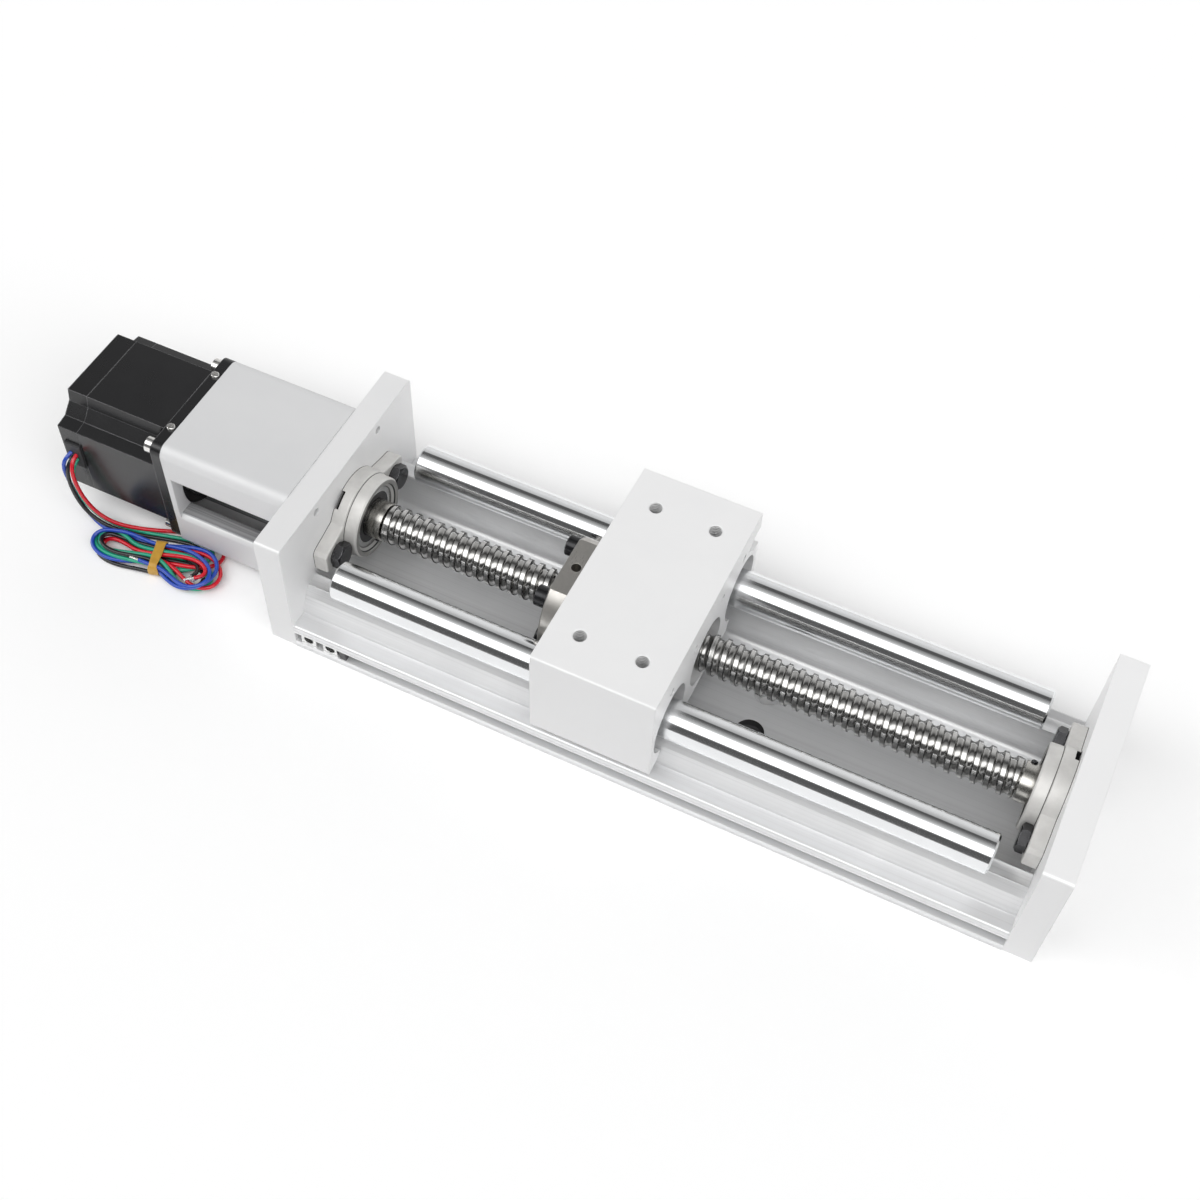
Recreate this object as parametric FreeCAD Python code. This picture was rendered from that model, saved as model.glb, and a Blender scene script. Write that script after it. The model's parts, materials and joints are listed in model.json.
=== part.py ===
import FreeCAD, Part
import math, os
from FreeCAD import Vector as V

os.makedirs("parts", exist_ok=True)

# ------------------------------------------------------------------ driving dimensions, mm
SHIFT = 54.05            # moves the plate-centred layout so that the whole object is centred on X
ZC = 33.5                # height of the screw and motor axis above the base
YR = 33.5                # rail centre distance from the middle
ZR = 33.6                # rail centre height
RAIL_R = 8.0
RAIL_X0, RAIL_X1 = -135.0, 133.0
PL_W, PL_H, PL_T = 100.0, 61.5, 11.2
XA0 = -159.6
XA1 = XA0 + PL_T
XB1 = 159.6
XB0 = XB1 - PL_T
LEAD = 5.0
SCREW_R = 8.0
GROOVE_R = 1.70
GROOVE_C = 8.35
BALL_R = 1.58
TH_X0, TH_X1 = -131.6, 131.0
JR = 5.0                 # journal radius
CAR_X0, CAR_X1 = -43.2, 6.8
CAR_Z0, CAR_Z1 = 17.5, 62.8
BORE_R = 14.0
MP = 23.57               # half pitch of the motor screw square
XM_F0, XM_F1 = -221.3, -216.6     # motor flange
XM_S0 = -258.0                    # rear of stator
XM_R0 = -267.7                    # rear of end cap
WIRE_R = 0.85

X = V(1, 0, 0)


# ------------------------------------------------------------------ helpers
def box(x0, x1, y0, y1, z0, z1):
    return Part.makeBox(x1 - x0, y1 - y0, z1 - z0, V(x0, y0, z0))


def cylx(x0, x1, y, z, r):
    return Part.makeCylinder(r, x1 - x0, V(x0, y, z), X)


def cylz(z0, z1, x, y, r):
    return Part.makeCylinder(r, z1 - z0, V(x, y, z0), V(0, 0, 1))


def prism(pts, x0, x1):
    w = Part.makePolygon([V(x0, y, z) for y, z in pts] + [V(x0, pts[0][0], pts[0][1])])
    return Part.Face(w).extrude(V(x1 - x0, 0, 0))


def rev(pts, y=0.0, z=ZC):
    """closed (x, r) outline turned about the X direction through (y, z)"""
    w = Part.makePolygon([V(a, y, z + r) for a, r in pts] + [V(pts[0][0], y, z + pts[0][1])])
    return Part.Face(w).revolve(V(0, y, z), X, 360)


def ring(x0, x1, r0, r1, y=0.0, z=ZC, c=0.0):
    if c:
        return rev([(x0, r0), (x0, r1 - c), (x0 + c, r1), (x1 - c, r1), (x1, r1 - c), (x1, r0)], y, z)
    return rev([(x0, r0), (x0, r1), (x1, r1), (x1, r0)], y, z)


def fuse(shapes):
    s = shapes[0]
    if len(shapes) > 1:
        s = s.fuse(shapes[1:])
    return s.removeSplitter()


def cut(a, tools):
    if not isinstance(tools, (list, tuple)):
        tools = [tools]
    return a.cut(tools)


def mirror_x(s):
    return s.mirror(V(0, 0, 0), V(1, 0, 0))


def mirror_y(s):
    return s.mirror(V(0, 0, 0), V(0, 1, 0))


def turn_z(s):
    t = s.copy()
    t.rotate(V(0, 0, 0), V(0, 0, 1), 180)
    return t


def aim(shape, pos, direction):
    s = shape.copy()
    s.Placement = FreeCAD.Placement(V(*pos), FreeCAD.Rotation(V(0, 0, 1), V(*direction)))
    return s


def hexprism(af, h, z0=0.0, turn=0.0):
    r = af / 2.0 / math.cos(math.pi / 6)
    p = [V(r * math.cos(math.radians(60 * i + turn)), r * math.sin(math.radians(60 * i + turn)), z0) for i in range(6)]
    return Part.Face(Part.makePolygon(p + [p[0]])).extrude(V(0, 0, h))


def cap_screw(d, length, dk, k, socket, depth):
    """socket head cap screw, seat at z = 0, head up, shank down"""
    head = Part.makeCylinder(dk / 2.0, k)
    head = head.makeChamfer(0.35, [e for e in head.Edges if abs(e.BoundBox.ZMin - k) < 1e-6 and abs(e.BoundBox.ZMax - k) < 1e-6])
    head = head.cut(hexprism(socket, depth + 0.01, k - depth))
    shank = Part.makeCylinder(d / 2.0, length, V(0, 0, -length))
    shank = shank.makeChamfer(0.4, [e for e in shank.Edges if abs(e.BoundBox.ZMax + length) < 1e-6])
    return head.fuse(shank).removeSplitter()


def hex_bolt(d, length, af, k, washer_r, washer_t, turn):
    """hexagon bolt, seat at z = 0, head up, washer face under the head"""
    hx = hexprism(af, k - washer_t, washer_t, turn)
    rc = af / 2.0 / math.cos(math.pi / 6)
    dome = Part.makeCone(rc + 1.6, af / 2.0 - 0.35, 2.0 + 0.35, V(0, 0, k - 2.0 - 0.35))
    low = Part.makeCylinder(rc + 1.6, k - 2.35, V(0, 0, 0))
    hx = hx.common(low.fuse(dome))
    w = Part.makeCylinder(washer_r, washer_t)
    shank = Part.makeCylinder(d / 2.0, length, V(0, 0, -length))
    shank = shank.makeChamfer(0.5, [e for e in shank.Edges if abs(e.BoundBox.ZMax + length) < 1e-6])
    return hx.fuse([w, shank]).removeSplitter()


def set_screw(d, length, socket, depth):
    """grub screw from z = -length to z = 0, socket up"""
    s = Part.makeCylinder(d / 2.0, length, V(0, 0, -length))
    s = s.makeChamfer(0.3, [e for e in s.Edges if len(e.Vertexes) == 1])
    return s.cut(hexprism(socket, depth + 0.01, -depth))


def edges_at(shape, test):
    return [e for e in shape.Edges if test(e)]


def along_x(e):
    b = e.BoundBox
    return b.XLength > 1.0 and b.YLength < 1e-6 and b.ZLength < 1e-6


report = []


def save(name, shape):
    s = shape
    if isinstance(s, (list, tuple)):
        s = Part.makeCompound(list(s))
    s = s.copy()
    s.translate(V(SHIFT, 0, 0))
    sol = s.Solids
    if len(sol) == 1:
        s = sol[0]
    else:
        s = Part.makeCompound(sol)
    b = s.BoundBox
    ok = all(q.isValid() and q.Volume > 0 for q in sol)
    s.exportStep("parts/%s.step" % name)
    report.append(name)
    print("%-24s solids %2d valid %s vol %10.1f  x %.2f..%.2f y %.2f..%.2f z %.2f..%.2f" % (
        name, len(sol), ok, sum(q.Volume for q in sol), b.XMin, b.XMax, b.YMin, b.YMax, b.ZMin, b.ZMax), flush=True)


# ------------------------------------------------------------------ base extrusion
def half_profile():
    """outline of the +Y half of the extrusion from the middle of the underside round to the floor"""
    pts = [(0, 0), (49.4, 0), (50, 0.6), (50, 1.2), (49.6, 1.6), (50, 2.0), (50, 4.3), (45.6, 4.3), (45.6, 2.5),
           (42.2, 2.5), (42.2, 11.6), (45.6, 11.6), (45.6, 9.8), (50, 9.8), (50, 11.0), (49.7, 11.3), (50, 11.6)]
    for i in range(0, 7):
        a = math.radians(15 * i)
        pts.append((48.8 + 1.2 * math.cos(a), 12.6 + 1.2 * math.sin(a)))
    pts += [(42.2, 13.8), (41.8, 14.3), (41.6, 15.4), (39.0, 21.7), (36.4, 25.6)]
    for yy in (36.4, 35.5, 34.5, 33.5, 32.5, 31.5, 30.6):
        dz = math.sqrt((RAIL_R + 0.0) ** 2 - (yy - YR) ** 2)
        pts.append((yy, ZR - dz))
    pts.append((30.0, ZR - math.sqrt(RAIL_R ** 2 - 3.0 ** 2) - 0.25))
    pts.append((30.0, 10.8))
    for i in range(1, 7):
        a = math.radians(15 * i)
        pts.append((30.0 - 3.0 + 3.0 * math.cos(a), 10.8 - 3.0 * math.sin(a)))
    pts.append((0, 7.8))
    out = []
    for p in pts:
        if not out or abs(p[0] - out[-1][0]) + abs(p[1] - out[-1][1]) > 1e-6:
            out.append(p)
    return out


hp = half_profile()
half = prism(hp, XA1, XB0)
base = half.fuse(mirror_y(half)).removeSplitter()
# exact cradle for each rail
tools = [cylx(XA1 - 1, XB0 + 1, s * YR, ZR, RAIL_R) for s in (1, -1)]
# floor holes: M6 clearance with counterbore
for sx in (1, -1):
    for sy in (1, -1):
        tools.append(cylz(-1, 9, sx * 32.0, sy * 10.0, 3.3))
        tools.append(cylz(3.6, 9, sx * 32.0, sy * 10.0, 5.8))
# rail screws from below, M4
RS_X = (-112.0, -37.0, 37.0, 112.0)
for sx in RS_X:
    for sy in (1, -1):
        tools.append(cylz(-1, 30, sx, sy * YR, 2.2))
        tools.append(cylz(-1, 7.6, sx, sy * YR, 3.75))
# plate screws: M5 threads in both ends
PS = [(35.5, 9.3), (34.9, 18.8)]
for sy in (1, -1):
    for (py, pz) in PS:
        tools.append(cylx(XA1 - 1, XA1 + 16, sy * py, pz, 2.1))
        tools.append(cylx(XB0 - 16, XB0 + 1, sy * py, pz, 2.1))
base = cut(base, tools).removeSplitter()
save("base_extrusion", base)

# ------------------------------------------------------------------ end plates
def plate(x0, x1):
    p = box(x0, x1, -PL_W / 2, PL_W / 2, 0, PL_H)
    p = p.makeFillet(1.6, edges_at(p, along_x))
    return p


pa = plate(XA0, XA1)
pb = plate(XB0, XB1)
ta = [cylx(XA0 - 1, XA1 + 1, 0, ZC, 8.5)]
tb = [cylx(XB0 - 1, XB1 + 1, 0, ZC, 8.5)]
for sy in (1, -1):
    for sz in (1, -1):
        ta.append(cylx(XA0 - 1, XA1 + 1, sy * MP, ZC + sz * MP, 1.7))
    ta.append(cylx(XA0 - 1, XA1 + 1, sy * 22.5, ZC, 2.55))
    tb.append(cylx(XB0 - 1, XB1 + 1, sy * 22.5, ZC, 2.55))
    for (py, pz) in PS:
        ta += [cylx(XA0 - 1, XA1 + 1, sy * py, pz, 2.75), cylx(XA0 - 1, XA0 + 5.6, sy * py, pz, 4.6)]
        tb += [cylx(XB0 - 1, XB1 + 1, sy * py, pz, 2.75), cylx(XB1 - 5.6, XB1 + 1, sy * py, pz, 4.6)]
save("motor_side_plate", cut(pa, ta))
save("far_end_plate", cut(pb, tb))

ps = []
for sy in (1, -1):
    for (py, pz) in PS:
        ps.append(aim(cap_screw(4.2, 14.0, 8.5, 5.0, 4.0, 2.6), (XA0 + 5.6, sy * py, pz), (-1, 0, 0)))
        ps.append(aim(cap_screw(4.2, 14.0, 8.5, 5.0, 4.0, 2.6), (XB1 - 5.6, sy * py, pz), (1, 0, 0)))
save("plate_screws", ps)

# ------------------------------------------------------------------ rails and their screws
for nm, sy in (("rail_near", -1), ("rail_far", 1)):
    r = Part.makeCylinder(RAIL_R, RAIL_X1 - RAIL_X0, V(RAIL_X0, sy * YR, ZR), X)
    r = r.makeChamfer(0.8, [e for e in r.Edges if len(e.Vertexes) == 1])
    r = cut(r, [cylz(ZR - 9, ZR + 1.5, sx, sy * YR, 1.7) for sx in RS_X])
    save(nm, r)
rs = []
for sx in RS_X:
    for sy in (1, -1):
        rs.append(aim(cap_screw(3.4, 26.0, 7.0, 4.0, 3.0, 2.0), (sx, sy * YR, 7.6), (0, 0, -1)))
save("rail_screws", rs)

# ------------------------------------------------------------------ sliding nuts in the side slot
def tnut(x0, x1):
    n = box(x0, x1, -45.6, -42.6, 2.9, 11.2)
    n = n.makeChamfer(1.0, [e for e in n.Edges if along_x(e) and e.BoundBox.YMin > -43])
    neck = box(x0 + 0.8, x1 - 0.8, -49.2, -45.5, 4.5, 9.6)
    n = n.fuse(neck).removeSplitter()
    h = Part.makeCylinder(2.1, 12, V((x0 + x1) / 2.0, -40, 7.05), V(0, -1, 0))
    return n.cut(h)


save("slot_nuts", [tnut(-146.8, -138.4), tnut(-136.8, -128.8)])
stop = box(-128.2, -125.4, -49.6, -42.8, 4.3, 9.8)
save("slot_stop", stop)

# ------------------------------------------------------------------ motor bracket
BR_R = 23.0
br = box(XM_F1, XA0, -28.4, 28.4, 5.0, 61.9)
br = br.makeFillet(4.8, edges_at(br, lambda e: along_x(e) and e.BoundBox.ZMin > 60))
br = br.makeFillet(2.5, edges_at(br, lambda e: along_x(e) and e.BoundBox.ZMax < 6))
bt = [cylx(XM_F1 - 1, XA0 + 1, 0, ZC, BR_R)]
for sy in (1, -1):
    for sz in (1, -1):
        bt.append(cylx(XM_F1 - 1, XA0 + 1, sy * MP, ZC + sz * MP, 2.2))
    win = box(-214.0, -162.0, 15, 30, ZC - 10, ZC + 10)
    # rolled outer lips of the window
    lip = []
    for sz in (1, -1):
        pts = [(28.4 + 0.5, ZC + sz * 9.5), (28.4 - 2.8, ZC + sz * 9.5), (28.4 - 2.8, ZC + sz * 10.0)]
        for i in range(1, 7):
            a = math.radians(15 * i)
            pts.append((28.4 - 2.8 + 2.8 * math.sin(a), ZC + sz * (10.0 + 2.8 * (1 - math.cos(a)))))
        pts.append((28.4 + 0.5, ZC + sz * 12.8))
        lip.append(prism(pts, -214.0, -162.0))
    w = win.fuse(lip)
    bt.append(w if sy > 0 else mirror_y(w))
br = cut(br, bt).removeSplitter()
save("motor_bracket", br)

# ------------------------------------------------------------------ motor
def motor_outline(h=28.2):
    q = [(17.2, 28.2), (18.2, 22.6), (19.8, 21.0), (21.0, 19.8), (22.6, 18.2), (28.2, 17.2)]
    pts = []
    pts += [(-y, z) for y, z in reversed(q)]          # upper left, walked clockwise from the left side
    pts += [(y, z) for y, z in q]
    pts += [(y, -z) for y, z in reversed(q)]
    pts += [(-y, -z) for y, z in q]
    return [(y * h / 28.2, z * h / 28.2 + ZC) for y, z in pts]


fl = box(XM_F0, XM_F1, -28.2, 28.2, ZC - 28.2, ZC + 28.2)
fl = fl.makeFillet(4.0, edges_at(fl, along_x))
pilot = ring(XM_F1 - 0.1, -215.0, 7.0, 19.05, c=0.3)
fl = fl.fuse(pilot).removeSplitter()
ft = [cylx(XM_F0 - 1, -216.0, 0, ZC, 11.0), cylx(-217, -214, 0, ZC, 7.0),
      ring(-215.9, -214.0, 9.5, 17.6)]
for sy in (1, -1):
    for sz in (1, -1):
        ft.append(cylx(XM_F0 - 1, XM_F1 + 1, sy * MP, ZC + sz * MP, 2.3))
ft += [cylz(57.5, 62, -218.9, sy * 15.7, 0.9) for sy in (1, -1)]
fl = cut(fl, ft)
save("motor_flange", fl)

st = prism(motor_outline(), XM_S0, XM_F0)
tt = [cylx(XM_S0 - 1, XM_F0 + 1, 0, ZC, 14.3)]
for i in range(8):
    a = 22.5 + 45 * i
    t = Part.makeBox(40, 8.0, 8.6, V(XM_S0 - 1.0, -4.0, 14.0))
    t.rotate(V(0, 0, 0), X, a)
    t.translate(V(0, 0, ZC))
    tt.append(t)
st = cut(st, tt).removeSplitter()
save("motor_stator", st)

coils = []
for i in range(8):
    a = 22.5 + 45 * i
    t = box(-257.0, -223.0, -3.6, 3.6, 15.0, 22.2)
    t = t.makeFillet(1.2, [e for e in t.Edges if along_x(e)])
    t.rotate(V(0, 0, 0), X, a)
    t.translate(V(0, 0, ZC))
    coils.append(t)
save("stator_coils", coils)

cap = prism(motor_outline(28.2), XM_R0, XM_S0)
cap = cap.makeChamfer(0.6, [e for e in cap.Edges if abs(e.BoundBox.XMin - XM_R0) < 1e-6 and abs(e.BoundBox.XMax - XM_R0) < 1e-6])
ct = [cylx(-262.4, XM_S0 + 1, 0, ZC, 20.0), cylx(-265.6, -262.0, 0, ZC, 11.0), cylx(-266.5, -265, 0, ZC, 6.0)]
# pocket of the cable grommet on the -Y side
ct.append(box(-265.5, XM_S0 + 0.01, -28.3, -18.0, 30.0, 43.0))
cap = cut(cap, ct).removeSplitter()
save("motor_rear_cap", cap)

# cable grommet: plug in the pocket with a hooded mouth for four leads
gr = box(-265.5, XM_S0, -29.4, -20.0, 30.0, 43.0)
gr = gr.makeFillet(0.5, [e for e in gr.Edges if e.BoundBox.YMax < -29.3])

# ------------------------------------------------------------------ long motor screws
ms = []
for sy in (1, -1):
    for sz in (1, -1):
        ms.append(aim(cap_screw(3.4, 70.0, 7.0, 4.0, 3.0, 2.2), (XM_F0, sy * MP, ZC + sz * MP), (-1, 0, 0)))
save("motor_screws", ms)

# small round heads on the top seam between flange and bracket, and the rear tie screws
seam = []
for sy in (1, -1):
    s = Part.makeCylinder(1.7, 1.1, V(-218.9, sy * 15.7, 61.7))
    s = s.makeFillet(0.5, [e for e in s.Edges if abs(e.BoundBox.ZMin - 62.8) < 1e-6 and abs(e.BoundBox.ZMax - 62.8) < 1e-6])
    s = s.cut(box(-218.9 - 0.3, -218.9 + 0.3, sy * 15.7 - 2, sy * 15.7 + 2, 62.3, 63.2))
    st_ = Part.makeCylinder(0.9, 4.1, V(-218.9, sy * 15.7, 57.6))
    seam.append(s.fuse(st_).removeSplitter())
save("flange_top_screws", seam)

# ------------------------------------------------------------------ flange bearing unit on the motor side
def bearing_parts():
    """all pieces of the unit on plate A; returns a dictionary"""
    x0 = XA1                                  # seat on the plate
    xf = x0 + 6.0                             # flange front
    xb = -136.9                               # boss front
    body = cylx(x0, xf, 0, ZC, 18.2)
    ear = [(14.0, 9.4), (22.0, 7.2), (28.6, 5.6), (30.0, 4.2), (30.0, -4.2), (28.6, -5.6), (22.0, -7.2), (14.0, -9.4), (0, -9.4), (0, 9.4)]
    e1 = prism([(y, z + ZC) for y, z in ear], x0, xf)
    body = body.fuse([e1, mirror_y(e1)]).removeSplitter()
    body = body.makeFillet(0.7, [e for e in body.Edges if abs(e.BoundBox.XMin - xf) < 1e-6 and abs(e.BoundBox.XMax - xf) < 1e-6])
    boss = rev([(xf - 0.5, 0), (xf - 0.5, 17.55), (xf + 0.4, 17.35), (xb - 0.7, 17.15), (xb, 16.5), (xb, 0)])
    body = body.fuse(boss).removeSplitter()
    t = [rev([(x0 - 1, 0), (x0 - 1, 13.0), (xb - 1.7, 13.0), (xb - 1.7, 13.3), (xb - 0.6, 14.8), (xb + 0.1, 14.9), (xb + 0.1, 0)])]
    for sy in (1, -1):
        t.append(cylx(x0 - 1, xf + 1, sy * 22.5, ZC, 3.3))
    # cast notch in the rear edge
    n = Part.makeBox(1.9, 7.6, 6.0, V(x0 - 0.1, -3.8, 15.4))
    n.rotate(V(0, 0, 0), X, 30)
    n.translate(V(0, 0, ZC))
    t.append(n)
    housing = cut(body, t).removeSplitter()
    xo0, xo1 = x0 + 0.9, xb - 1.8             # outer ring
    xm = (xo0 + xo1) / 2.0
    outer = rev([(xo0, 11.0), (xo0, 13.0), (xo1, 13.0), (xo1, 11.0)])
    race = Part.makeTorus(9.6, 2.03, V(xm, 0, ZC), X)
    outer = cut(outer, race)
    seals = [ring(xo0 + 0.25, xo0 + 0.85, 8.1, 11.0), ring(xo1 - 0.85, xo1 - 0.25, 8.1, 11.0)]
    inner = rev([(xo0 - 0.4, JR), (xo0 - 0.4, 7.4), (xo0, 7.8), (xo1 + 0.6, 7.8), (xo1 + 0.9, 8.0),
                 (TH_X0 - 0.5, 8.0), (TH_X0 - 0.4, 7.9), (TH_X0 - 0.4, JR)])
    inner = cut(inner, Part.makeTorus(9.6, 2.12, V(xm, 0, ZC), X))
    balls = []
    for i in range(9):
        a = math.radians(40 * i + 10)
        balls.append(Part.makeSphere(2.0, V(xm, 9.6 * math.sin(a), ZC + 9.6 * math.cos(a))))
    # set screws of the inner ring, 120 degrees apart
    xs = -134.5
    grubs = []
    for ang in (142.0, 262.0):
        a = math.radians(ang)
        d = V(0, -math.sin(a), math.cos(a))
        hole = Part.makeCylinder(1.25, 4.5, V(xs, 0, ZC) + d * 4.6, d)
        inner = inner.cut(hole)
        g = set_screw(2.5, 3.9, 1.3, 1.2)
        p = V(xs, 0, ZC) + d * (JR + 3.9)
        grubs.append(aim(g, (p.x, p.y, p.z), (d.x, d.y, d.z)))
    bolts = []
    for sy in (1, -1):
        bolts.append(aim(hex_bolt(5.1, 15.0, 9.8, 4.2, 4.9, 0.5, 0.0), (xf, sy * 22.5, ZC), (1, 0, 0)))
    return {"bearing_housing": housing, "bearing_outer_ring": outer, "bearing_seals": seals,
            "bearing_inner_ring": inner, "bearing_balls": balls, "grubs": grubs, "housing_bolts": bolts}


def spin_b(sh):
    # the far ring stands turned on the screw, one of its set screws looks up and back
    q = sh.copy()
    q.rotate(V(0, 0, ZC), V(1, 0, 0), 102.0)
    return q


A = bearing_parts()
for k in ("bearing_housing", "bearing_outer_ring", "bearing_seals", "bearing_inner_ring", "bearing_balls", "housing_bolts"):
    sh = A[k]
    if isinstance(sh, list):
        save(k + "_a", sh)
        save(k + "_b", [turn_z(q) for q in sh])
    else:
        save(k + "_a", sh)
        save(k + "_b", spin_b(turn_z(sh)) if k == "bearing_inner_ring" else turn_z(sh))
save("ring_set_screws", A["grubs"] + [spin_b(turn_z(q)) for q in A["grubs"]])

# ------------------------------------------------------------------ ball screw
XJ_A = -187.0                     # motor end of the journal, inside the coupling
XJ_B = 149.4                      # far end of the journal, inside the plate bore
G0 = -130.0                       # start of the rolled thread
N_TURNS = 52


def thread_solid(x0, turns, land_r, arc_from, arc_to, n_arc, n_land, nv=12):
    """right-hand thread as a closed solid: helical groove and land patches, one pair per turn, with flat ends.
    arc_from..arc_to are angles round the groove's circle, 0 pointing at the axis"""
    def patch(us, rs):
        rows = []
        for u, r in zip(us, rs):
            rows.append([V(r * math.cos(u + 2 * math.pi * j / nv), r * math.sin(u + 2 * math.pi * j / nv), LEAD * j / nv) for j in range(nv + 1)])
        sf = Part.BSplineSurface()
        sf.interpolate(rows)
        return sf.toShape()
    us, rs = [], []
    for i in range(n_arc):
        t = arc_from + (arc_to - arc_from) * i / (n_arc - 1.0)
        us.append(2 * math.pi * GROOVE_R * math.sin(t) / LEAD)
        rs.append(GROOVE_C - GROOVE_R * math.cos(t))
    rs[0] = rs[-1] = land_r
    if us[0] > us[-1]:
        us.reverse()
    ua = us[-1]
    ul = [ua + (2 * math.pi - 2 * ua) * i / (n_land - 1.0) for i in range(n_land)]
    g_, l_ = patch(us, rs), patch(ul, [land_r] * n_land)

    def cap(z):
        es = [e.copy() for f in (g_, l_) for e in f.Edges if e.BoundBox.ZLength < 1e-6 and abs(e.BoundBox.ZMin - z) < 1e-6]
        return Part.Face(Part.Wire(Part.__sortEdges__(es)))
    faces = []
    for k in range(turns):
        for f in (g_, l_):
            q = f.copy()
            q.translate(V(0, 0, k * LEAD))
            faces.append(q)
    c0, c1 = cap(0.0), cap(LEAD)
    c1.translate(V(0, 0, (turns - 1) * LEAD))
    sh = Part.makeShell(faces + [c0, c1])
    sh.sewShape(1e-3)
    so = Part.Solid(sh.Shells[0])
    if so.Volume < 0:
        so.reverse()
    print("thread", turns, "turns closed", sh.Shells[0].isClosed(), "valid", so.isValid(), "volume %.1f section*length %.1f" % (so.Volume, c0.Area * turns * LEAD))
    so.rotate(V(0, 0, 0), V(0, 1, 0), 90)
    so.translate(V(x0, 0, ZC))
    return so


al = math.acos((GROOVE_C - SCREW_R) / GROOVE_R)
thread = thread_solid(G0, N_TURNS, SCREW_R, -al, al, 11, 5)
LAND_E = SCREW_R - 0.1             # plain shoulders at both ends of the thread
end_a = rev([(XJ_A, 0), (XJ_A, JR - 0.6), (XJ_A + 0.6, JR), (TH_X0, JR), (TH_X0, LAND_E - 0.7), (TH_X0 + 0.7, LAND_E), (G0, LAND_E), (G0, 0)])
end_b = rev([(G0 + N_TURNS * LEAD, 0), (G0 + N_TURNS * LEAD, LAND_E), (130.9, LAND_E), (131.6, LAND_E - 0.7), (131.6, JR), (XJ_B - 0.6, JR), (XJ_B, JR - 0.6), (XJ_B, 0)])
screw = thread.fuse([end_a, end_b])
print("screw volume %.1f of %.1f" % (screw.Volume, thread.Volume + end_a.Volume + end_b.Volume), len(screw.Solids))
save("ball_screw", screw)

# ------------------------------------------------------------------ coupling and motor shaft
XS_E = -194.5                     # screw end of the motor shaft
hub_m = ring(-211.0, -199.4, 4.0, 16.0, c=0.6)
hub_s = ring(-188.0, -172.0, JR, 16.0, c=0.6)


def jaws(x0, x1, turn):
    out = []
    for i in range(3):
        j = ring(x0, x1, 7.0, 15.4)
        wedge = prism([(0, 0), (30 * math.sin(math.radians(-24)), 30 * math.cos(math.radians(24))), (0, 33.0),
                       (30 * math.sin(math.radians(24)), 30 * math.cos(math.radians(24)))], x0, x1)
        wedge.rotate(V(0, 0, 0), X, 120 * i + turn)
        wedge.translate(V(0, 0, ZC))
        out.append(j.common(wedge))
    return out


hub_m = hub_m.fuse(jaws(-199.5, -189.2, 0)).removeSplitter()
hub_s = hub_s.fuse(jaws(-198.2, -187.9, 60)).removeSplitter()
tm = []
csc = []
for (xc, hub) in ((-205.2, "m"), (-180.0, "s")):
    for ang in (0.0, 90.0):
        a = math.radians(ang)
        d = V(0, -math.sin(a), math.cos(a))
        rj = 4.0 if hub == "m" else JR
        tm.append((hub, Part.makeCylinder(2.0, 16.0, V(xc, 0, ZC) + d * (rj - 0.3), d)))
        p = V(xc, 0, ZC) + d * (rj + 5.0)
        csc.append(aim(set_screw(4.0, 5.0, 2.0, 2.2), (p.x, p.y, p.z), (d.x, d.y, d.z)))
hub_m = hub_m.cut([q for k, q in tm if k == "m"])
hub_s = hub_s.cut([q for k, q in tm if k == "s"])
save("coupling_motor_hub", hub_m)
save("coupling_screw_hub", hub_s)
spider = ring(-198.6, -188.8, 6.4, 15.2)
gaps = []
for i in range(6):
    wdg = prism([(0, 0), (30 * math.sin(math.radians(-26)), 30 * math.cos(math.radians(26))), (0, 33.0),
                 (30 * math.sin(math.radians(26)), 30 * math.cos(math.radians(26)))], -199.5, -188.0)
    wdg = wdg.common(cylx(-199.6, -187.9, 0, 0, 20.0)).cut(cylx(-199.7, -187.8, 0, 0, 6.85))
    wdg.rotate(V(0, 0, 0), X, 60 * i)
    wdg.translate(V(0, 0, ZC))
    gaps.append(wdg)
spider = spider.cut(gaps).removeSplitter()
spider = spider.fuse(ring(-198.0, -189.4, 5.6, 6.8)).removeSplitter()
save("coupling_spider", spider)
save("coupling_set_screws", csc)

shaft = rev([(-265.4, 0), (-265.4, 3.7), (-265.1, 4.0), (XS_E - 0.5, 4.0), (XS_E, 3.5), (XS_E, 0)])
save("motor_shaft", shaft)
rot = [ring(-254.0, -241.0, 4.0, 13.8, c=0.3), ring(-239.0, -226.0, 4.0, 13.8, c=0.3), ring(-241.0, -239.0, 4.0, 11.0)]
save("motor_rotor", fuse(rot))
mo, mi, mb = [], [], []
for (a, b) in ((-221.2, -216.1), (-265.5, -262.5 + 0.0)):
    m = (a + b) / 2.0
    rr = 0.95
    mo.append(cut(ring(a, b, 8.6, 11.0), Part.makeTorus(7.6, rr + 0.06, V(m, 0, ZC), X)))
    mi.append(cut(ring(a, b, 4.0, 6.6), Part.makeTorus(7.6, rr + 0.12, V(m, 0, ZC), X)))
    for i in range(10):
        t = math.radians(36 * i)
        mb.append(Part.makeSphere(rr, V(m, 7.6 * math.sin(t), ZC + 7.6 * math.cos(t))))
save("motor_bearings_outer", mo)
save("motor_bearings_inner", mi)
save("motor_bearing_balls", mb)

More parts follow.
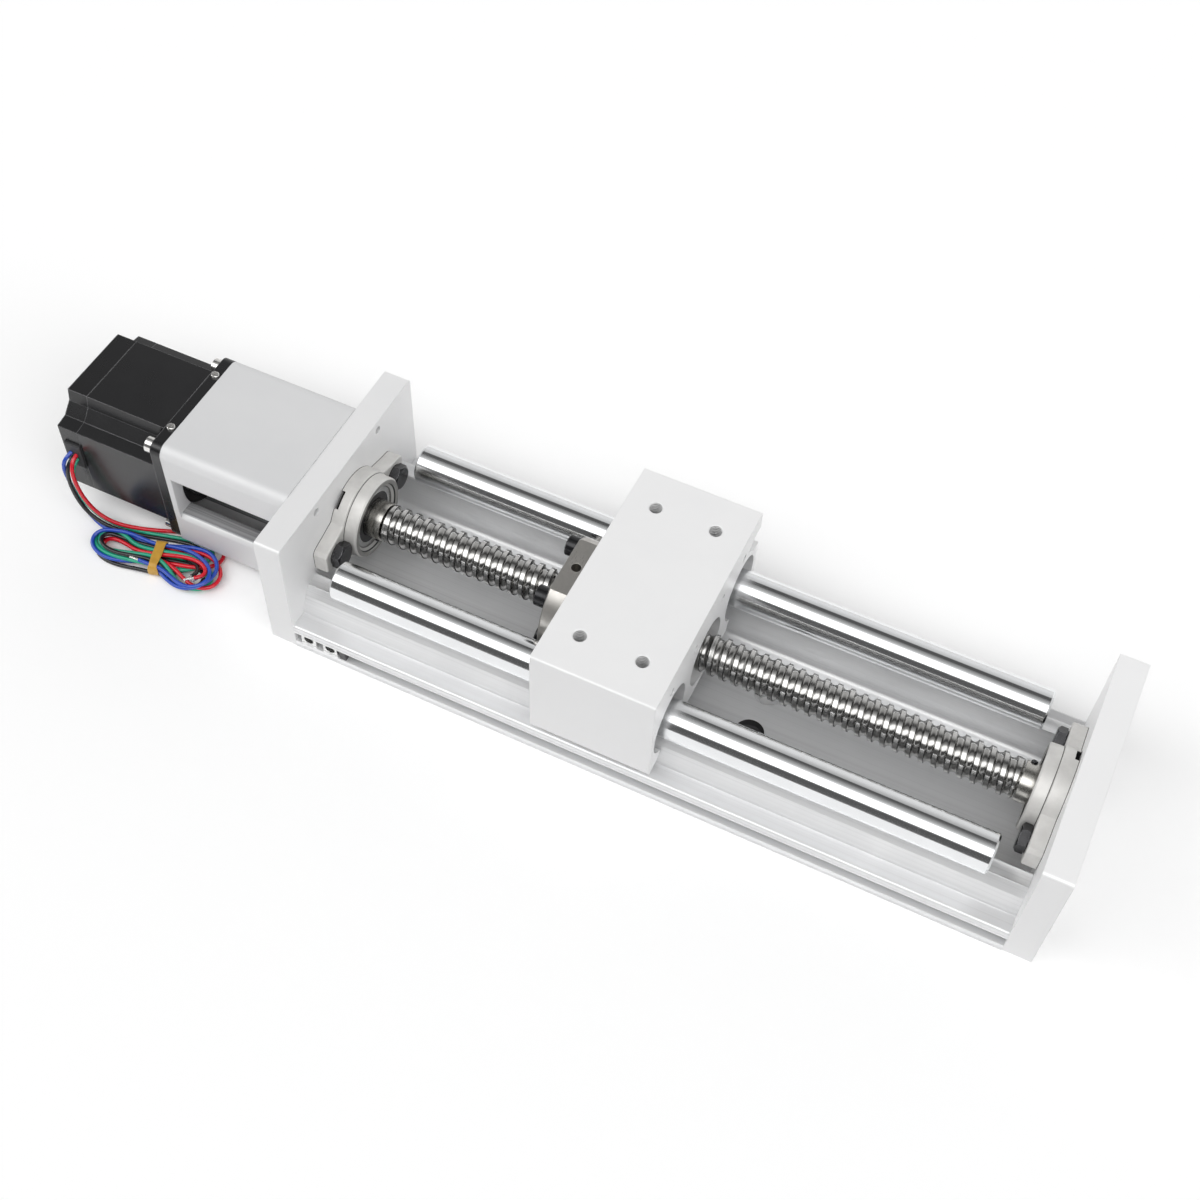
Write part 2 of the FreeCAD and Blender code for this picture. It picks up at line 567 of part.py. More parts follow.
# ------------------------------------------------------------------ carriage
car = box(CAR_X0, CAR_X1, -50, 50, CAR_Z0, CAR_Z1)
car = car.makeFillet(1.0, edges_at(car, lambda e: along_x(e) and e.BoundBox.ZMin > 60))
ct = [cylx(CAR_X0 - 1, CAR_X1 + 1, 0, ZC, 14.15)]
for sy in (1, -1):
    ct.append(cylx(CAR_X0 - 1, CAR_X1 + 1, sy * YR, ZR, BORE_R))
    slot = [(26.0, 24.0), (25.9, 21.8), (24.8, 20.6), (24.3, 19.4), (24.0, 17.0), (42.6, 17.0), (42.2, 18.4), (40.9, 20.4),
            (40.7, 24.0), (33.5, 30.0)]
    s = prism(slot, CAR_X0 - 1, CAR_X1 + 1)
    ct.append(s if sy > 0 else mirror_y(s))
    # retaining ring grooves
    for xg in (-38.2, 0.6):
        g_ = ring(xg, xg + 1.3, 13.0, 14.7, sy * YR, ZR)
        ct.append(g_)
    # M6 table threads
    for xt in (-31.05, -5.93):
        ct.append(cylz(CAR_Z1 - 13.5, CAR_Z1 + 1, xt, sy * 33.35, 2.5))
        ct.append(Part.makeCone(2.5, 2.9, 0.4, V(xt, sy * 33.35, CAR_Z1 - 0.4)))
    # small threads in the end face away from the motor
    for py in (34.0, 13.0):
        ct.append(cylx(CAR_X1 - 9, CAR_X1 + 1, sy * py, 52.3, 1.7))
# nut screw threads
NP = 13.43
for sy in (1, -1):
    for sz in (1, -1):
        ct.append(cylx(CAR_X0 - 1, CAR_X0 + 14, sy * NP, ZC + sz * NP, 2.1))
# underside slits between the webs
for sy in (1, -1):
    ct.append(prism([(sy * 16.0, 17.0), (sy * 12.4, 17.0), (sy * 12.4, 17.9), (sy * 16.0, 17.9)], CAR_X0 - 1, CAR_X1 + 1))
# hollow channel in the +Y side face
side = [(50.5, 44.4), (45.0, 44.4), (40.8, 48.6), (38.6, 49.6), (38.6, 50.6), (44.0, 53.8), (50.5, 53.8)]
ct.append(prism(side, CAR_X0 - 1, CAR_X1 + 1))
car = cut(car, ct).removeSplitter()
save("carriage_block", car)

# ------------------------------------------------------------------ ball nut
NF_X0 = -53.4
NB_X1 = -3.4
NR = 8.28
TRACK_R = 10.9
nut = rev([(NF_X0 + 2.5, 0), (NF_X0 + 2.5, 11.2), (NF_X0, 11.2), (NF_X0, 23.5), (NF_X0 + 0.5, 24.0), (CAR_X0 - 0.5, 24.0), (CAR_X0, 23.5),
           (CAR_X0, 14.0), (NB_X1 - 0.6, 14.0), (NB_X1, 13.4), (NB_X1, 11.2), (NB_X1 - 2.5, 11.2), (NB_X1 - 2.5, 0)])
nut = nut.common(box(NF_X0 - 1, NB_X1 + 1, -25, 25, ZC - 20, ZC + 20))
nt = []
for ang in (45, 135, 225, 315, 0, 180):
    a = math.radians(ang)
    nt.append(cylx(NF_X0 - 1, CAR_X0 + 0.5, 19.0 * math.cos(a), ZC + 19.0 * math.sin(a), 2.75))
nut = cut(nut, nt)
# bore for the hardened track sleeve
nut = nut.cut(cylx(NF_X0 + 2.0, NB_X1 - 2.0, 0, ZC, TRACK_R))
# the sleeve carries the nut's own ball track: the same thread, cut from the bore outwards
tb_ = math.acos((GROOVE_C - NR) / GROOVE_R)
tap = thread_solid(G0 + 18 * LEAD, 5, NR, tb_, 2 * math.pi - tb_, 11, 5)
sleeve = cylx(NF_X0 + 2.5, NB_X1 - 2.5, 0, ZC, TRACK_R)
v0 = sleeve.Volume
sleeve = sleeve.cut(tap)
print("nut track removed %.1f of %.1f" % (v0 - sleeve.Volume, tap.Volume))
for xa_, xb_ in ((NF_X0 + 2.0, G0 + 18 * LEAD + 0.6), (G0 + 23 * LEAD - 0.6, NB_X1 - 2.0)):
    sleeve = sleeve.cut(cylx(xa_, xb_, 0, ZC, 8.7))
# oil port on the upper flat
port = Part.makeCylinder(2.0, 12.0, V(-48.6, 0, ZC + 9.4), V(0, 0, 1))
nut = nut.cut(port).removeSplitter()
save("nut_track_sleeve", sleeve.cut(port))
# oil port on the -Y side of the flange rim
nut = nut.cut(Part.makeCylinder(2.0, 4.0, V(-48.6, -24.5, ZC - 0.0), V(0, 1, 0)))
save("ball_nut", nut)
save("nut_wipers", [ring(NF_X0 + 0.05, NF_X0 + 2.45, 8.15, 11.2), ring(NB_X1 - 2.45, NB_X1 - 0.05, 8.15, 11.2)])
TURNS0 = 19                       # first working turn inside the nut, counted on the screw's own thread

nb = []
per = 15
for k in range(per * 3):
    th = 2 * math.pi * (k + 0.5) / per
    xx = G0 + LEAD * TURNS0 + LEAD * th / (2 * math.pi)
    nb.append(Part.makeSphere(BALL_R, V(xx, GROOVE_C * math.sin(th), ZC - GROOVE_C * math.cos(th))))
print("nut balls x", nb[0].BoundBox.XMin, nb[-1].BoundBox.XMax)
save("nut_balls", nb)

nsc = []
for sy in (1, -1):
    for sz in (1, -1):
        nsc.append(aim(cap_screw(4.2, 20.0, 8.5, 5.0, 4.0, 2.6), (NF_X0, sy * NP, ZC + sz * NP), (-1, 0, 0)))
save("nut_screws", nsc)

# ------------------------------------------------------------------ open linear bearings
LB0, LB1 = -36.8, 0.5
shells, cages, lballs, rings_ = [], [], [], []
for sy in (1, -1):
    yc = sy * YR
    op = prism([(-5.4 * sy + yc, ZR - 5.0), (-5.4 * sy + yc, ZR - 15), (7.3 * sy + yc, ZR - 15), (7.3 * sy + yc, ZR - 5.0)], LB0 - 3, LB1 + 3)
    shells.append(cut(ring(LB0, LB1, 12.0, 14.0, yc, ZR, c=0.3), op))
    cage = cut(ring(LB0 + 0.4, LB1 - 0.4, 8.25, 11.95, yc, ZR), op)
    pockets = []
    for ang in (90.0, 30.0, 150.0, -5.0 if sy > 0 else 185.0):
        a = math.radians(ang)
        for i in range(8):
            xb_ = LB0 + 6.0 + i * 3.6
            lballs.append(Part.makeSphere(1.55, V(xb_, yc + 9.65 * math.cos(a), ZR + 9.65 * math.sin(a))))
        pk = Part.makeBox(31.0, 3.4, 6.0, V(LB0 + 3.2, -1.7, 7.0))
        pk.rotate(V(0, 0, 0), X, ang - 90.0)
        pk.translate(V(0, yc, ZR))
        pockets.append(pk)
    cages.append(cut(cage, pockets))
    for xg in (-38.15, 0.65):
        r_ = ring(xg, xg + 1.15, 12.4, 14.6, yc, ZR)
        gap = prism([(yc - 7.7, ZR - 5.0), (yc - 8.6, ZR - 16), (yc + 8.6, ZR - 16), (yc + 7.7, ZR - 5.0)], xg - 1, xg + 3)
        rings_.append(cut(r_, gap))
for lst, nm in ((shells, "linear_bearing_shells"), (cages, "linear_bearing_cages"), (lballs, "rail_balls"), (rings_, "retaining_rings")):
    save(nm, lst)

# ------------------------------------------------------------------ leads
def route(points):
    """straight runs joined by tangent arcs; returns the wire, its length and the smallest radius"""
    P = [V(*p) for p in points]
    n = len(P)
    runs = [(P[i + 1] - P[i]).Length for i in range(n - 1)]
    edges = []
    cur = P[0]
    radii = []
    for i in range(1, n - 1):
        a = (P[i - 1] - P[i]).normalize()
        b = (P[i + 1] - P[i]).normalize()
        ang = math.pi - a.getAngle(b)
        r = 0.45 * min(runs[i - 1], runs[i]) / math.tan(ang / 2.0)
        t = r * math.tan(ang / 2.0)
        p1 = P[i] + a * t
        p2 = P[i] + b * t
        bis = (a + b).normalize()
        c = P[i] + bis * math.sqrt(r * r + t * t)
        mid = c + (P[i] - c).normalize() * r
        edges.append(Part.LineSegment(cur, p1).toShape())
        edges.append(Part.Arc(p1, mid, p2).toShape())
        cur = p2
        radii.append((r, math.degrees(ang)))
    edges.append(Part.LineSegment(cur, P[-1]).toShape())
    return Part.Wire(edges), radii, runs


LEADS = {
    "red": [(-260.70, -27.60, 37.40), (-260.80, -30.80, 37.10), (-260.60, -33.70, 34.80), (-259.90, -35.30, 31.00),
            (-258.80, -36.00, 25.60), (-256.90, -36.10, 18.20), (-252.90, -35.60, 11.20), (-246.90, -34.00, 6.00),
            (-239.36, -30.63, 3.06), (-231.19, -26.99, 1.83), (-221.80, -22.77, 1.50), (-211.91, -19.99, 1.27),
            (-204.11, -20.42, 1.03), (-199.31, -24.04, 0.95), (-198.10, -29.05, 1.48), (-200.07, -33.60, 2.48)],
    "green": [(-260.70, -27.60, 34.90), (-260.90, -30.60, 34.50), (-261.00, -33.10, 32.20), (-260.90, -34.40, 28.40),
              (-260.40, -34.90, 22.60), (-258.80, -35.00, 15.60), (-255.40, -34.60, 9.40), (-250.00, -33.40, 4.60),
              (-242.60, -31.48, 1.74), (-232.89, -29.00, 0.88), (-222.19, -25.89, 0.88), (-212.60, -23.46, 0.91),
              (-205.90, -23.92, 1.00), (-202.60, -27.79, 1.55), (-203.00, -32.66, 2.53)],
    "black": [(-262.90, -27.60, 35.00), (-263.20, -30.60, 34.60), (-263.60, -33.10, 32.20), (-263.70, -34.50, 28.20),
              (-263.20, -35.20, 22.20), (-261.40, -35.60, 15.00), (-257.70, -35.80, 8.60), (-252.00, -35.20, 4.00),
              (-244.77, -33.59, 1.37), (-234.94, -31.33, 0.88), (-224.52, -28.32, 0.93), (-215.09, -26.16, 1.01),
              (-208.67, -26.68, 1.25), (-206.05, -30.00, 2.03), (-206.83, -34.17, 2.75)],
    "blue": [(-262.90, -27.60, 37.80), (-263.60, -31.20, 37.40), (-264.94, -33.51, 34.31), (-265.37, -33.91, 29.61),
             (-264.98, -33.69, 24.31), (-263.68, -34.07, 17.00), (-260.98, -34.44, 10.10), (-256.69, -34.88, 4.42),
             (-251.28, -35.62, 1.91), (-245.01, -36.14, 3.27), (-238.81, -35.43, 5.34)],
}
for nm, pts in LEADS.items():
    w, radii, runs = route(pts)
    e0 = w.OrderedEdges[0]
    d = (V(*pts[1]) - V(*pts[0])).normalize()
    prof = Part.Wire([Part.Circle(V(*pts[0]), d, WIRE_R).toShape()])
    tube = w.makePipeShell([prof], True, False)
    L = w.Length
    print("lead %-6s length %.1f volume %.1f section*length %.1f min radius %.2f max turn %.1f runs %.1f..%.1f" % (
        nm, L, tube.Volume, math.pi * WIRE_R ** 2 * L, min(r for r, a in radii), max(a for r, a in radii), min(runs), max(runs)),
        "radii", [round(r, 1) for r, a in radii])
    save("wire_" + nm, tube)
    hole2 = Part.makeCylinder(WIRE_R, 6.0, V(*pts[0]), d)
    gr = gr.cut(hole2)
save("wire_grommet", gr)
for nm, pts in LEADS.items():
    print("route", nm, [(round(x + SHIFT, 2), y, z) for x, y, z in pts])

hank_pts = [(-249.8, -44.3), (-250.3, -40.5), (-248.4, -37.4), (-243.5, -35.4), (-239.0, -34.9), (-232.0, -34.0), (-226.0, -33.0),
            (-219.0, -31.8), (-212.0, -30.6), (-206.2, -30.3), (-200.8, -30.9), (-195.4, -34.3), (-192.2, -39.1), (-192.6, -44.2), (-195.6, -47.6),
            (-199.6, -49.4), (-205.2, -49.4), (-211.8, -48.2), (-217.6, -46.4), (-222.8, -45.4), (-230.2, -46.8), (-238.6, -48.2), (-246.2, -47.0)]
w = Part.makePolygon([V(x, y, 0.2) for x, y in hank_pts] + [V(hank_pts[0][0], hank_pts[0][1], 0.2)])
hank = Part.Face(w).extrude(V(0, 0, 6.6))
hank = hank.makeChamfer(1.0, [e for e in hank.Edges if abs(e.BoundBox.ZMin - 6.8) < 1e-6 and abs(e.BoundBox.ZMax - 6.8) < 1e-6])

# rubber band round the waist of the hank, tilted as it lies
band_outer = box(-223.4, -219.0, -47.6, -32.2, 0.05, 7.5)
band_outer = band_outer.makeFillet(1.6, [e for e in band_outer.Edges if along_x(e)])
band_inner = box(-223.6, -218.8, -46.9, -32.9, 0.75, 6.8)
band_inner = band_inner.makeFillet(1.0, [e for e in band_inner.Edges if along_x(e)])
for q in (band_outer, band_inner):
    q.rotate(V(-221.2, -39.9, 0), V(0, 0, 1), 18.0)
band = band_outer.cut(band_inner)
hank = hank.cut(band_outer).fuse(hank.common(band_inner)).removeSplitter()
save("wire_hank", hank)
save("rubber_band", band)

print("nodes", len(report))
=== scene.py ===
import bpy
import bmesh
import json
import math
import random
from mathutils import Matrix, Vector


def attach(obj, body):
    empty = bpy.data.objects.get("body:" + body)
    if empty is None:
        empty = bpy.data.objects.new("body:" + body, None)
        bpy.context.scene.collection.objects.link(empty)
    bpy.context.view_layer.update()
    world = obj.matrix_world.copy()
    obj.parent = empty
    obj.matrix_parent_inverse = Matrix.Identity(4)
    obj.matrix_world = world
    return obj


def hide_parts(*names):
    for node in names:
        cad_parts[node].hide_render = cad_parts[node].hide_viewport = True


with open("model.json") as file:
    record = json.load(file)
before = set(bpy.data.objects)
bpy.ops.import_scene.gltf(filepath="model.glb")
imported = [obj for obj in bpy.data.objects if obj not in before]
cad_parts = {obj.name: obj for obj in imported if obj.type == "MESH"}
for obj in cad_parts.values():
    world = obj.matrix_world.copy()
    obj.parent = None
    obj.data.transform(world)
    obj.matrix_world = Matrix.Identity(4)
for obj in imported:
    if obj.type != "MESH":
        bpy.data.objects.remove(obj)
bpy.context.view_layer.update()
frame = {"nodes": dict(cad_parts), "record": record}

random.seed(7)
scene = bpy.context.scene
scene.view_settings.view_transform = "Standard"
scene.view_settings.look = "None"
scene.view_settings.exposure = 0.0
scene.view_settings.gamma = 1.0
nodes = frame["nodes"]
AX_Z = 0.0335            # height of the screw axis
MM = 0.001

# ------------------------------------------------------------------ camera
CAM_AZ, CAM_EL, CAM_ROLL = math.radians(23.1627), math.radians(54.1709), math.radians(2.9565)
back = Vector((math.sin(CAM_AZ) * math.cos(CAM_EL), -math.cos(CAM_AZ) * math.cos(CAM_EL), math.sin(CAM_EL)))
right = Vector((math.cos(CAM_AZ), math.sin(CAM_AZ), 0.0))
up = back.cross(right)
cx = right * math.cos(CAM_ROLL) + up * math.sin(CAM_ROLL)
cy = -right * math.sin(CAM_ROLL) + up * math.cos(CAM_ROLL)
cam_data = bpy.data.cameras.new("camera")
cam_data.sensor_width = 36.0
cam_data.lens = 50.27
cam_data.clip_start = 0.01
cam_data.clip_end = 50.0
cam = bpy.data.objects.new("camera", cam_data)
rot = Matrix((cx, cy, back)).transposed().to_4x4()
cam.matrix_world = Matrix.Translation((0.16474, -0.347741, 0.562979)) @ rot
scene.collection.objects.link(cam)
scene.camera = cam

# ------------------------------------------------------------------ motor leads: control points in mm
LEADS = {
    "red": [(-206.65, -27.60, 37.40), (-206.75, -30.80, 37.10), (-206.55, -33.70, 34.80), (-205.85, -35.30, 31.00), (-204.75, -36.00, 25.60), (-202.85, -36.10, 18.20),
            (-198.85, -35.60, 11.20), (-192.85, -34.00, 6.00), (-185.31, -30.63, 3.06), (-177.14, -26.99, 1.83), (-167.75, -22.77, 1.50), (-157.86, -19.99, 1.27),
            (-150.06, -20.42, 1.03), (-145.26, -24.04, 0.95), (-144.05, -29.05, 1.48), (-146.02, -33.60, 2.48), (-151.57, -38.02, 4.32), (-157.41, -39.45, 4.36),
            (-162.87, -40.50, 3.23), (-168.46, -41.52, 2.18), (-174.56, -42.82, 1.75), (-181.16, -44.22, 1.77), (-187.20, -45.10, 2.27), (-192.42, -44.43, 2.69),
            (-195.49, -41.67, 2.51), (-194.98, -38.12, 1.74), (-191.56, -35.83, 1.48), (-185.87, -35.20, 2.11), (-179.78, -35.27, 2.48), (-173.70, -35.14, 2.73),
            (-167.67, -34.43, 3.08), (-161.17, -31.93, 3.17), (-154.69, -29.81, 3.36), (-148.70, -29.58, 3.53), (-143.50, -31.37, 3.47), (-139.88, -34.47, 3.39),
            (-138.57, -38.25, 3.32), (-139.25, -42.02, 3.29), (-142.42, -44.79, 3.30), (-146.97, -45.46, 3.68), (-151.91, -44.24, 4.31), (-156.95, -42.25, 4.91),
            (-162.40, -40.76, 4.66), (-168.36, -41.14, 4.18), (-174.80, -43.23, 3.50), (-181.23, -45.70, 2.77), (-186.77, -46.76, 1.83), (-191.11, -45.78, 0.98),
            (-193.67, -42.60, 1.09), (-192.29, -39.84, 2.22), (-188.33, -39.10, 3.28), (-183.17, -39.86, 4.17), (-177.18, -41.03, 4.46), (-171.19, -40.20, 5.16),
            (-165.20, -38.66, 5.68), (-158.86, -36.38, 5.83), (-152.34, -35.18, 6.14), (-147.00, -36.20, 6.71), (-143.64, -38.96, 7.09), (-143.86, -42.13, 7.43),
            (-146.06, -44.12, 7.79)],
    "green": [(-206.65, -27.60, 34.90), (-206.85, -30.60, 34.50), (-206.95, -33.10, 32.20), (-206.85, -34.40, 28.40), (-206.35, -34.90, 22.60), (-204.75, -35.00, 15.60),
              (-201.35, -34.60, 9.40), (-195.95, -33.40, 4.60), (-188.55, -31.48, 1.74), (-178.84, -29.00, 0.88), (-168.14, -25.89, 0.88), (-158.55, -23.46, 0.91),
              (-151.85, -23.92, 1.00), (-148.55, -27.79, 1.55), (-148.95, -32.66, 2.53), (-151.93, -37.89, 2.30), (-156.89, -41.09, 2.93), (-162.52, -43.11, 3.52),
              (-168.65, -44.49, 4.39), (-175.26, -45.88, 4.28), (-181.87, -46.96, 4.02), (-187.98, -47.30, 3.75), (-193.40, -46.08, 3.56), (-196.54, -42.90, 3.52),
              (-196.12, -39.36, 3.60), (-192.75, -37.38, 3.18), (-186.60, -36.81, 1.90), (-180.46, -37.00, 1.36), (-174.35, -37.22, 1.58), (-168.24, -36.85, 1.79),
              (-161.64, -34.89, 1.36), (-155.04, -33.13, 1.01), (-149.34, -32.97, 0.88), (-144.64, -34.99, 1.00), (-142.33, -38.40, 1.16), (-142.43, -42.21, 1.36),
              (-144.91, -45.39, 1.79), (-148.99, -47.13, 3.04), (-153.68, -46.35, 3.81), (-158.60, -43.89, 4.90), (-163.20, -41.87, 6.05), (-168.85, -41.19, 5.99),
              (-175.31, -42.71, 5.29), (-181.76, -44.41, 4.71), (-187.40, -45.70, 4.36), (-192.22, -44.99, 4.18), (-194.84, -41.80, 4.38), (-193.90, -38.12, 4.89),
              (-189.86, -36.42, 5.34), (-184.32, -37.33, 5.61), (-177.95, -39.44, 5.84), (-172.06, -38.93, 5.98), (-165.55, -37.11, 5.78), (-158.59, -34.64, 5.23),
              (-151.59, -33.94, 4.96), (-145.99, -35.30, 4.77), (-143.39, -38.20, 5.31), (-144.79, -41.06, 5.82)],
    "black": [(-208.85, -27.60, 35.00), (-209.15, -30.60, 34.60), (-209.55, -33.10, 32.20), (-209.65, -34.50, 28.20), (-209.15, -35.20, 22.20), (-207.35, -35.60, 15.00),
              (-203.65, -35.80, 8.60), (-197.95, -35.20, 4.00), (-190.72, -33.59, 1.37), (-180.89, -31.33, 0.88), (-170.47, -28.32, 0.93), (-161.04, -26.16, 1.01),
              (-154.62, -26.68, 1.25), (-152.00, -30.00, 2.03), (-152.78, -34.17, 2.75), (-155.20, -39.62, 1.67), (-159.67, -43.09, 1.13), (-164.25, -45.60, 1.33),
              (-169.67, -46.78, 1.85), (-176.06, -47.88, 1.33), (-181.94, -48.98, 1.07), (-187.83, -48.99, 0.96), (-192.71, -47.43, 0.90), (-195.40, -43.97, 0.88),
              (-194.55, -40.26, 0.88), (-190.98, -38.08, 0.89), (-185.65, -38.05, 0.88), (-179.70, -38.81, 0.99), (-173.73, -39.10, 1.43), (-167.77, -38.70, 1.80),
              (-161.30, -36.90, 1.38), (-155.22, -35.21, 0.96), (-150.24, -35.37, 0.88), (-146.65, -37.56, 0.88), (-145.46, -40.94, 0.89), (-146.86, -44.72, 1.04),
              (-150.45, -47.52, 1.64), (-154.61, -47.02, 2.29), (-159.40, -44.91, 4.04), (-163.77, -43.23, 5.78), (-169.15, -43.12, 5.82), (-175.72, -44.63, 5.99),
              (-182.08, -46.36, 5.95), (-187.23, -46.49, 5.94), (-191.58, -44.81, 5.90), (-193.45, -41.78, 5.46), (-191.96, -38.56, 4.72), (-187.61, -37.81, 4.06),
              (-182.67, -37.59, 4.03), (-177.73, -37.25, 4.53), (-172.79, -36.72, 4.92), (-166.45, -35.67, 4.54), (-160.10, -34.62, 3.38), (-154.55, -35.18, 3.64),
              (-150.39, -36.33, 5.05), (-147.80, -38.87, 6.16), (-146.90, -41.46, 6.93), (-147.61, -43.66, 7.50)],
    "blue": [(-208.85, -27.60, 37.80), (-209.55, -31.20, 37.40), (-210.89, -33.51, 34.31), (-211.32, -33.91, 29.61), (-210.93, -33.69, 24.31), (-209.63, -34.07, 17.00),
             (-206.93, -34.44, 10.10), (-202.64, -34.88, 4.42), (-197.23, -35.62, 1.91), (-190.96, -36.14, 3.27), (-184.76, -35.43, 5.34), (-178.19, -35.72, 4.01),
             (-172.15, -35.08, 4.46), (-166.26, -33.24, 4.57), (-159.67, -29.96, 4.16), (-154.30, -28.60, 4.46), (-149.13, -28.59, 4.91), (-144.58, -30.70, 5.10),
             (-141.65, -34.34, 5.20), (-140.75, -38.57, 5.24), (-141.67, -42.79, 5.52), (-145.44, -47.11, 4.53), (-151.26, -48.80, 3.46), (-157.67, -47.58, 3.18),
             (-163.30, -44.97, 3.14), (-167.91, -43.12, 2.84), (-173.59, -44.02, 2.52), (-179.30, -46.64, 2.40), (-185.47, -48.61, 2.80), (-191.10, -48.67, 3.48),
             (-195.56, -46.39, 4.33), (-196.83, -42.66, 5.32), (-194.68, -39.25, 6.24), (-189.93, -37.49, 6.59), (-183.59, -36.40, 7.55), (-177.07, -35.85, 6.58),
             (-170.58, -35.52, 5.95), (-164.12, -33.37, 5.77), (-157.70, -32.22, 5.83), (-151.30, -32.88, 6.16), (-145.53, -35.17, 6.50), (-142.00, -38.52, 6.83),
             (-141.00, -42.10, 7.01), (-142.44, -45.70, 6.65), (-146.01, -47.91, 6.04), (-150.60, -48.12, 5.45), (-156.22, -46.54, 5.48), (-161.63, -44.92, 5.83),
             (-166.66, -45.27, 5.91), (-172.40, -45.49, 5.99)],
}
LEAD_D = 1.7 * MM


def lead_curve(name, pts):
    cu = bpy.data.curves.new("lead_" + name, "CURVE")
    cu.dimensions = "3D"
    sp = cu.splines.new("NURBS")
    sp.points.add(len(pts) - 1)
    for p, q in zip(sp.points, pts):
        p.co = (q[0] * MM, q[1] * MM, q[2] * MM, 1.0)
    sp.order_u = 3
    sp.use_endpoint_u = True
    cu.resolution_u = 8
    cu.bevel_depth = LEAD_D / 2.0
    cu.bevel_resolution = 5
    cu.use_fill_caps = True
    ob = bpy.data.objects.new("lead_" + name, cu)
    scene.collection.objects.link(ob)
    return ob


def line_of(ob):
    """points along a lead's own NURBS line"""
    cu = ob.data.copy()
    cu.bevel_depth = 0.0
    tmp = bpy.data.objects.new("tmp_line", cu)
    scene.collection.objects.link(tmp)
    dg = bpy.context.evaluated_depsgraph_get()
    me = bpy.data.meshes.new_from_object(tmp.evaluated_get(dg))
    pts = [v.co.copy() for v in me.vertices]
    bpy.data.objects.remove(tmp)
    bpy.data.curves.remove(cu)
    bpy.data.meshes.remove(me)
    return pts


def frame_for(d):
    d = d.normalized()
    a = Vector((0, 0, 1)) if abs(d.z) < 0.8 else Vector((1, 0, 0))
    u = d.cross(a).normalized()
    return d, u, d.cross(u)


def sweep(bm, pts, radius, sides=8, cap=True):
    """a round tube along points, radius may be one number or one per point"""
    rad = radius if isinstance(radius, (list, tuple)) else [radius] * len(pts)
    rings = []
    d, u, w = frame_for(pts[1] - pts[0])
    for i, p in enumerate(pts):
        t = (pts[min(i + 1, len(pts) - 1)] - pts[max(i - 1, 0)]).normalized()
        u = (u - t * u.dot(t)).normalized()
        w = t.cross(u)
        rings.append([bm.verts.new(p + (u * math.cos(2 * math.pi * k / sides) + w * math.sin(2 * math.pi * k / sides)) * rad[i]) for k in range(sides)])
    for a, b in zip(rings[:-1], rings[1:]):
        for k in range(sides):
            bm.faces.new((a[k], a[(k + 1) % sides], b[(k + 1) % sides], b[k]))
    if cap:
        bm.faces.new(list(reversed(rings[0])))
        bm.faces.new(rings[-1])


def mesh_object(name, bm, smooth=True):
    me = bpy.data.meshes.new(name)
    bmesh.ops.recalc_face_normals(bm, faces=bm.faces[:])
    bm.to_mesh(me)
    bm.free()
    if smooth:
        for p in me.polygons:
            p.use_smooth = True
    ob = bpy.data.objects.new(name, me)
    scene.collection.objects.link(ob)
    return ob


leads, tips, stubs = {}, {}, {}
for name, pts in LEADS.items():
    ob = lead_curve(name, pts)
    leads[name] = ob
    line = line_of(ob)
    end, d = line[-1], (line[-1] - line[-3]).normalized()
    d = (d + Vector((0, 0, -0.02))).normalized()
    _, u, w = frame_for(d)
    bm = bmesh.new()
    # stripped, twisted and tinned strands, slightly fanned at the tip
    L = {"red": 4.6, "green": 5.2, "black": 4.4, "blue": 4.9}[name] * MM
    for k in range(7):
        path = []
        for i in range(15):
            s = i / 14.0
            r = (0.0 if k == 0 else 0.30 * MM) * (1.0 + (0.9 if s > 0.8 else 0.0) * (s - 0.8) * 3.0)
            a = 2 * math.pi * (k / 6.0 + 0.85 * s)
            path.append(end + d * (L * s - 0.6 * MM) + (u * math.cos(a) + w * math.sin(a)) * r)
        sweep(bm, path, 0.16 * MM, 6)
    tips[name] = mesh_object("tip_" + name, bm)

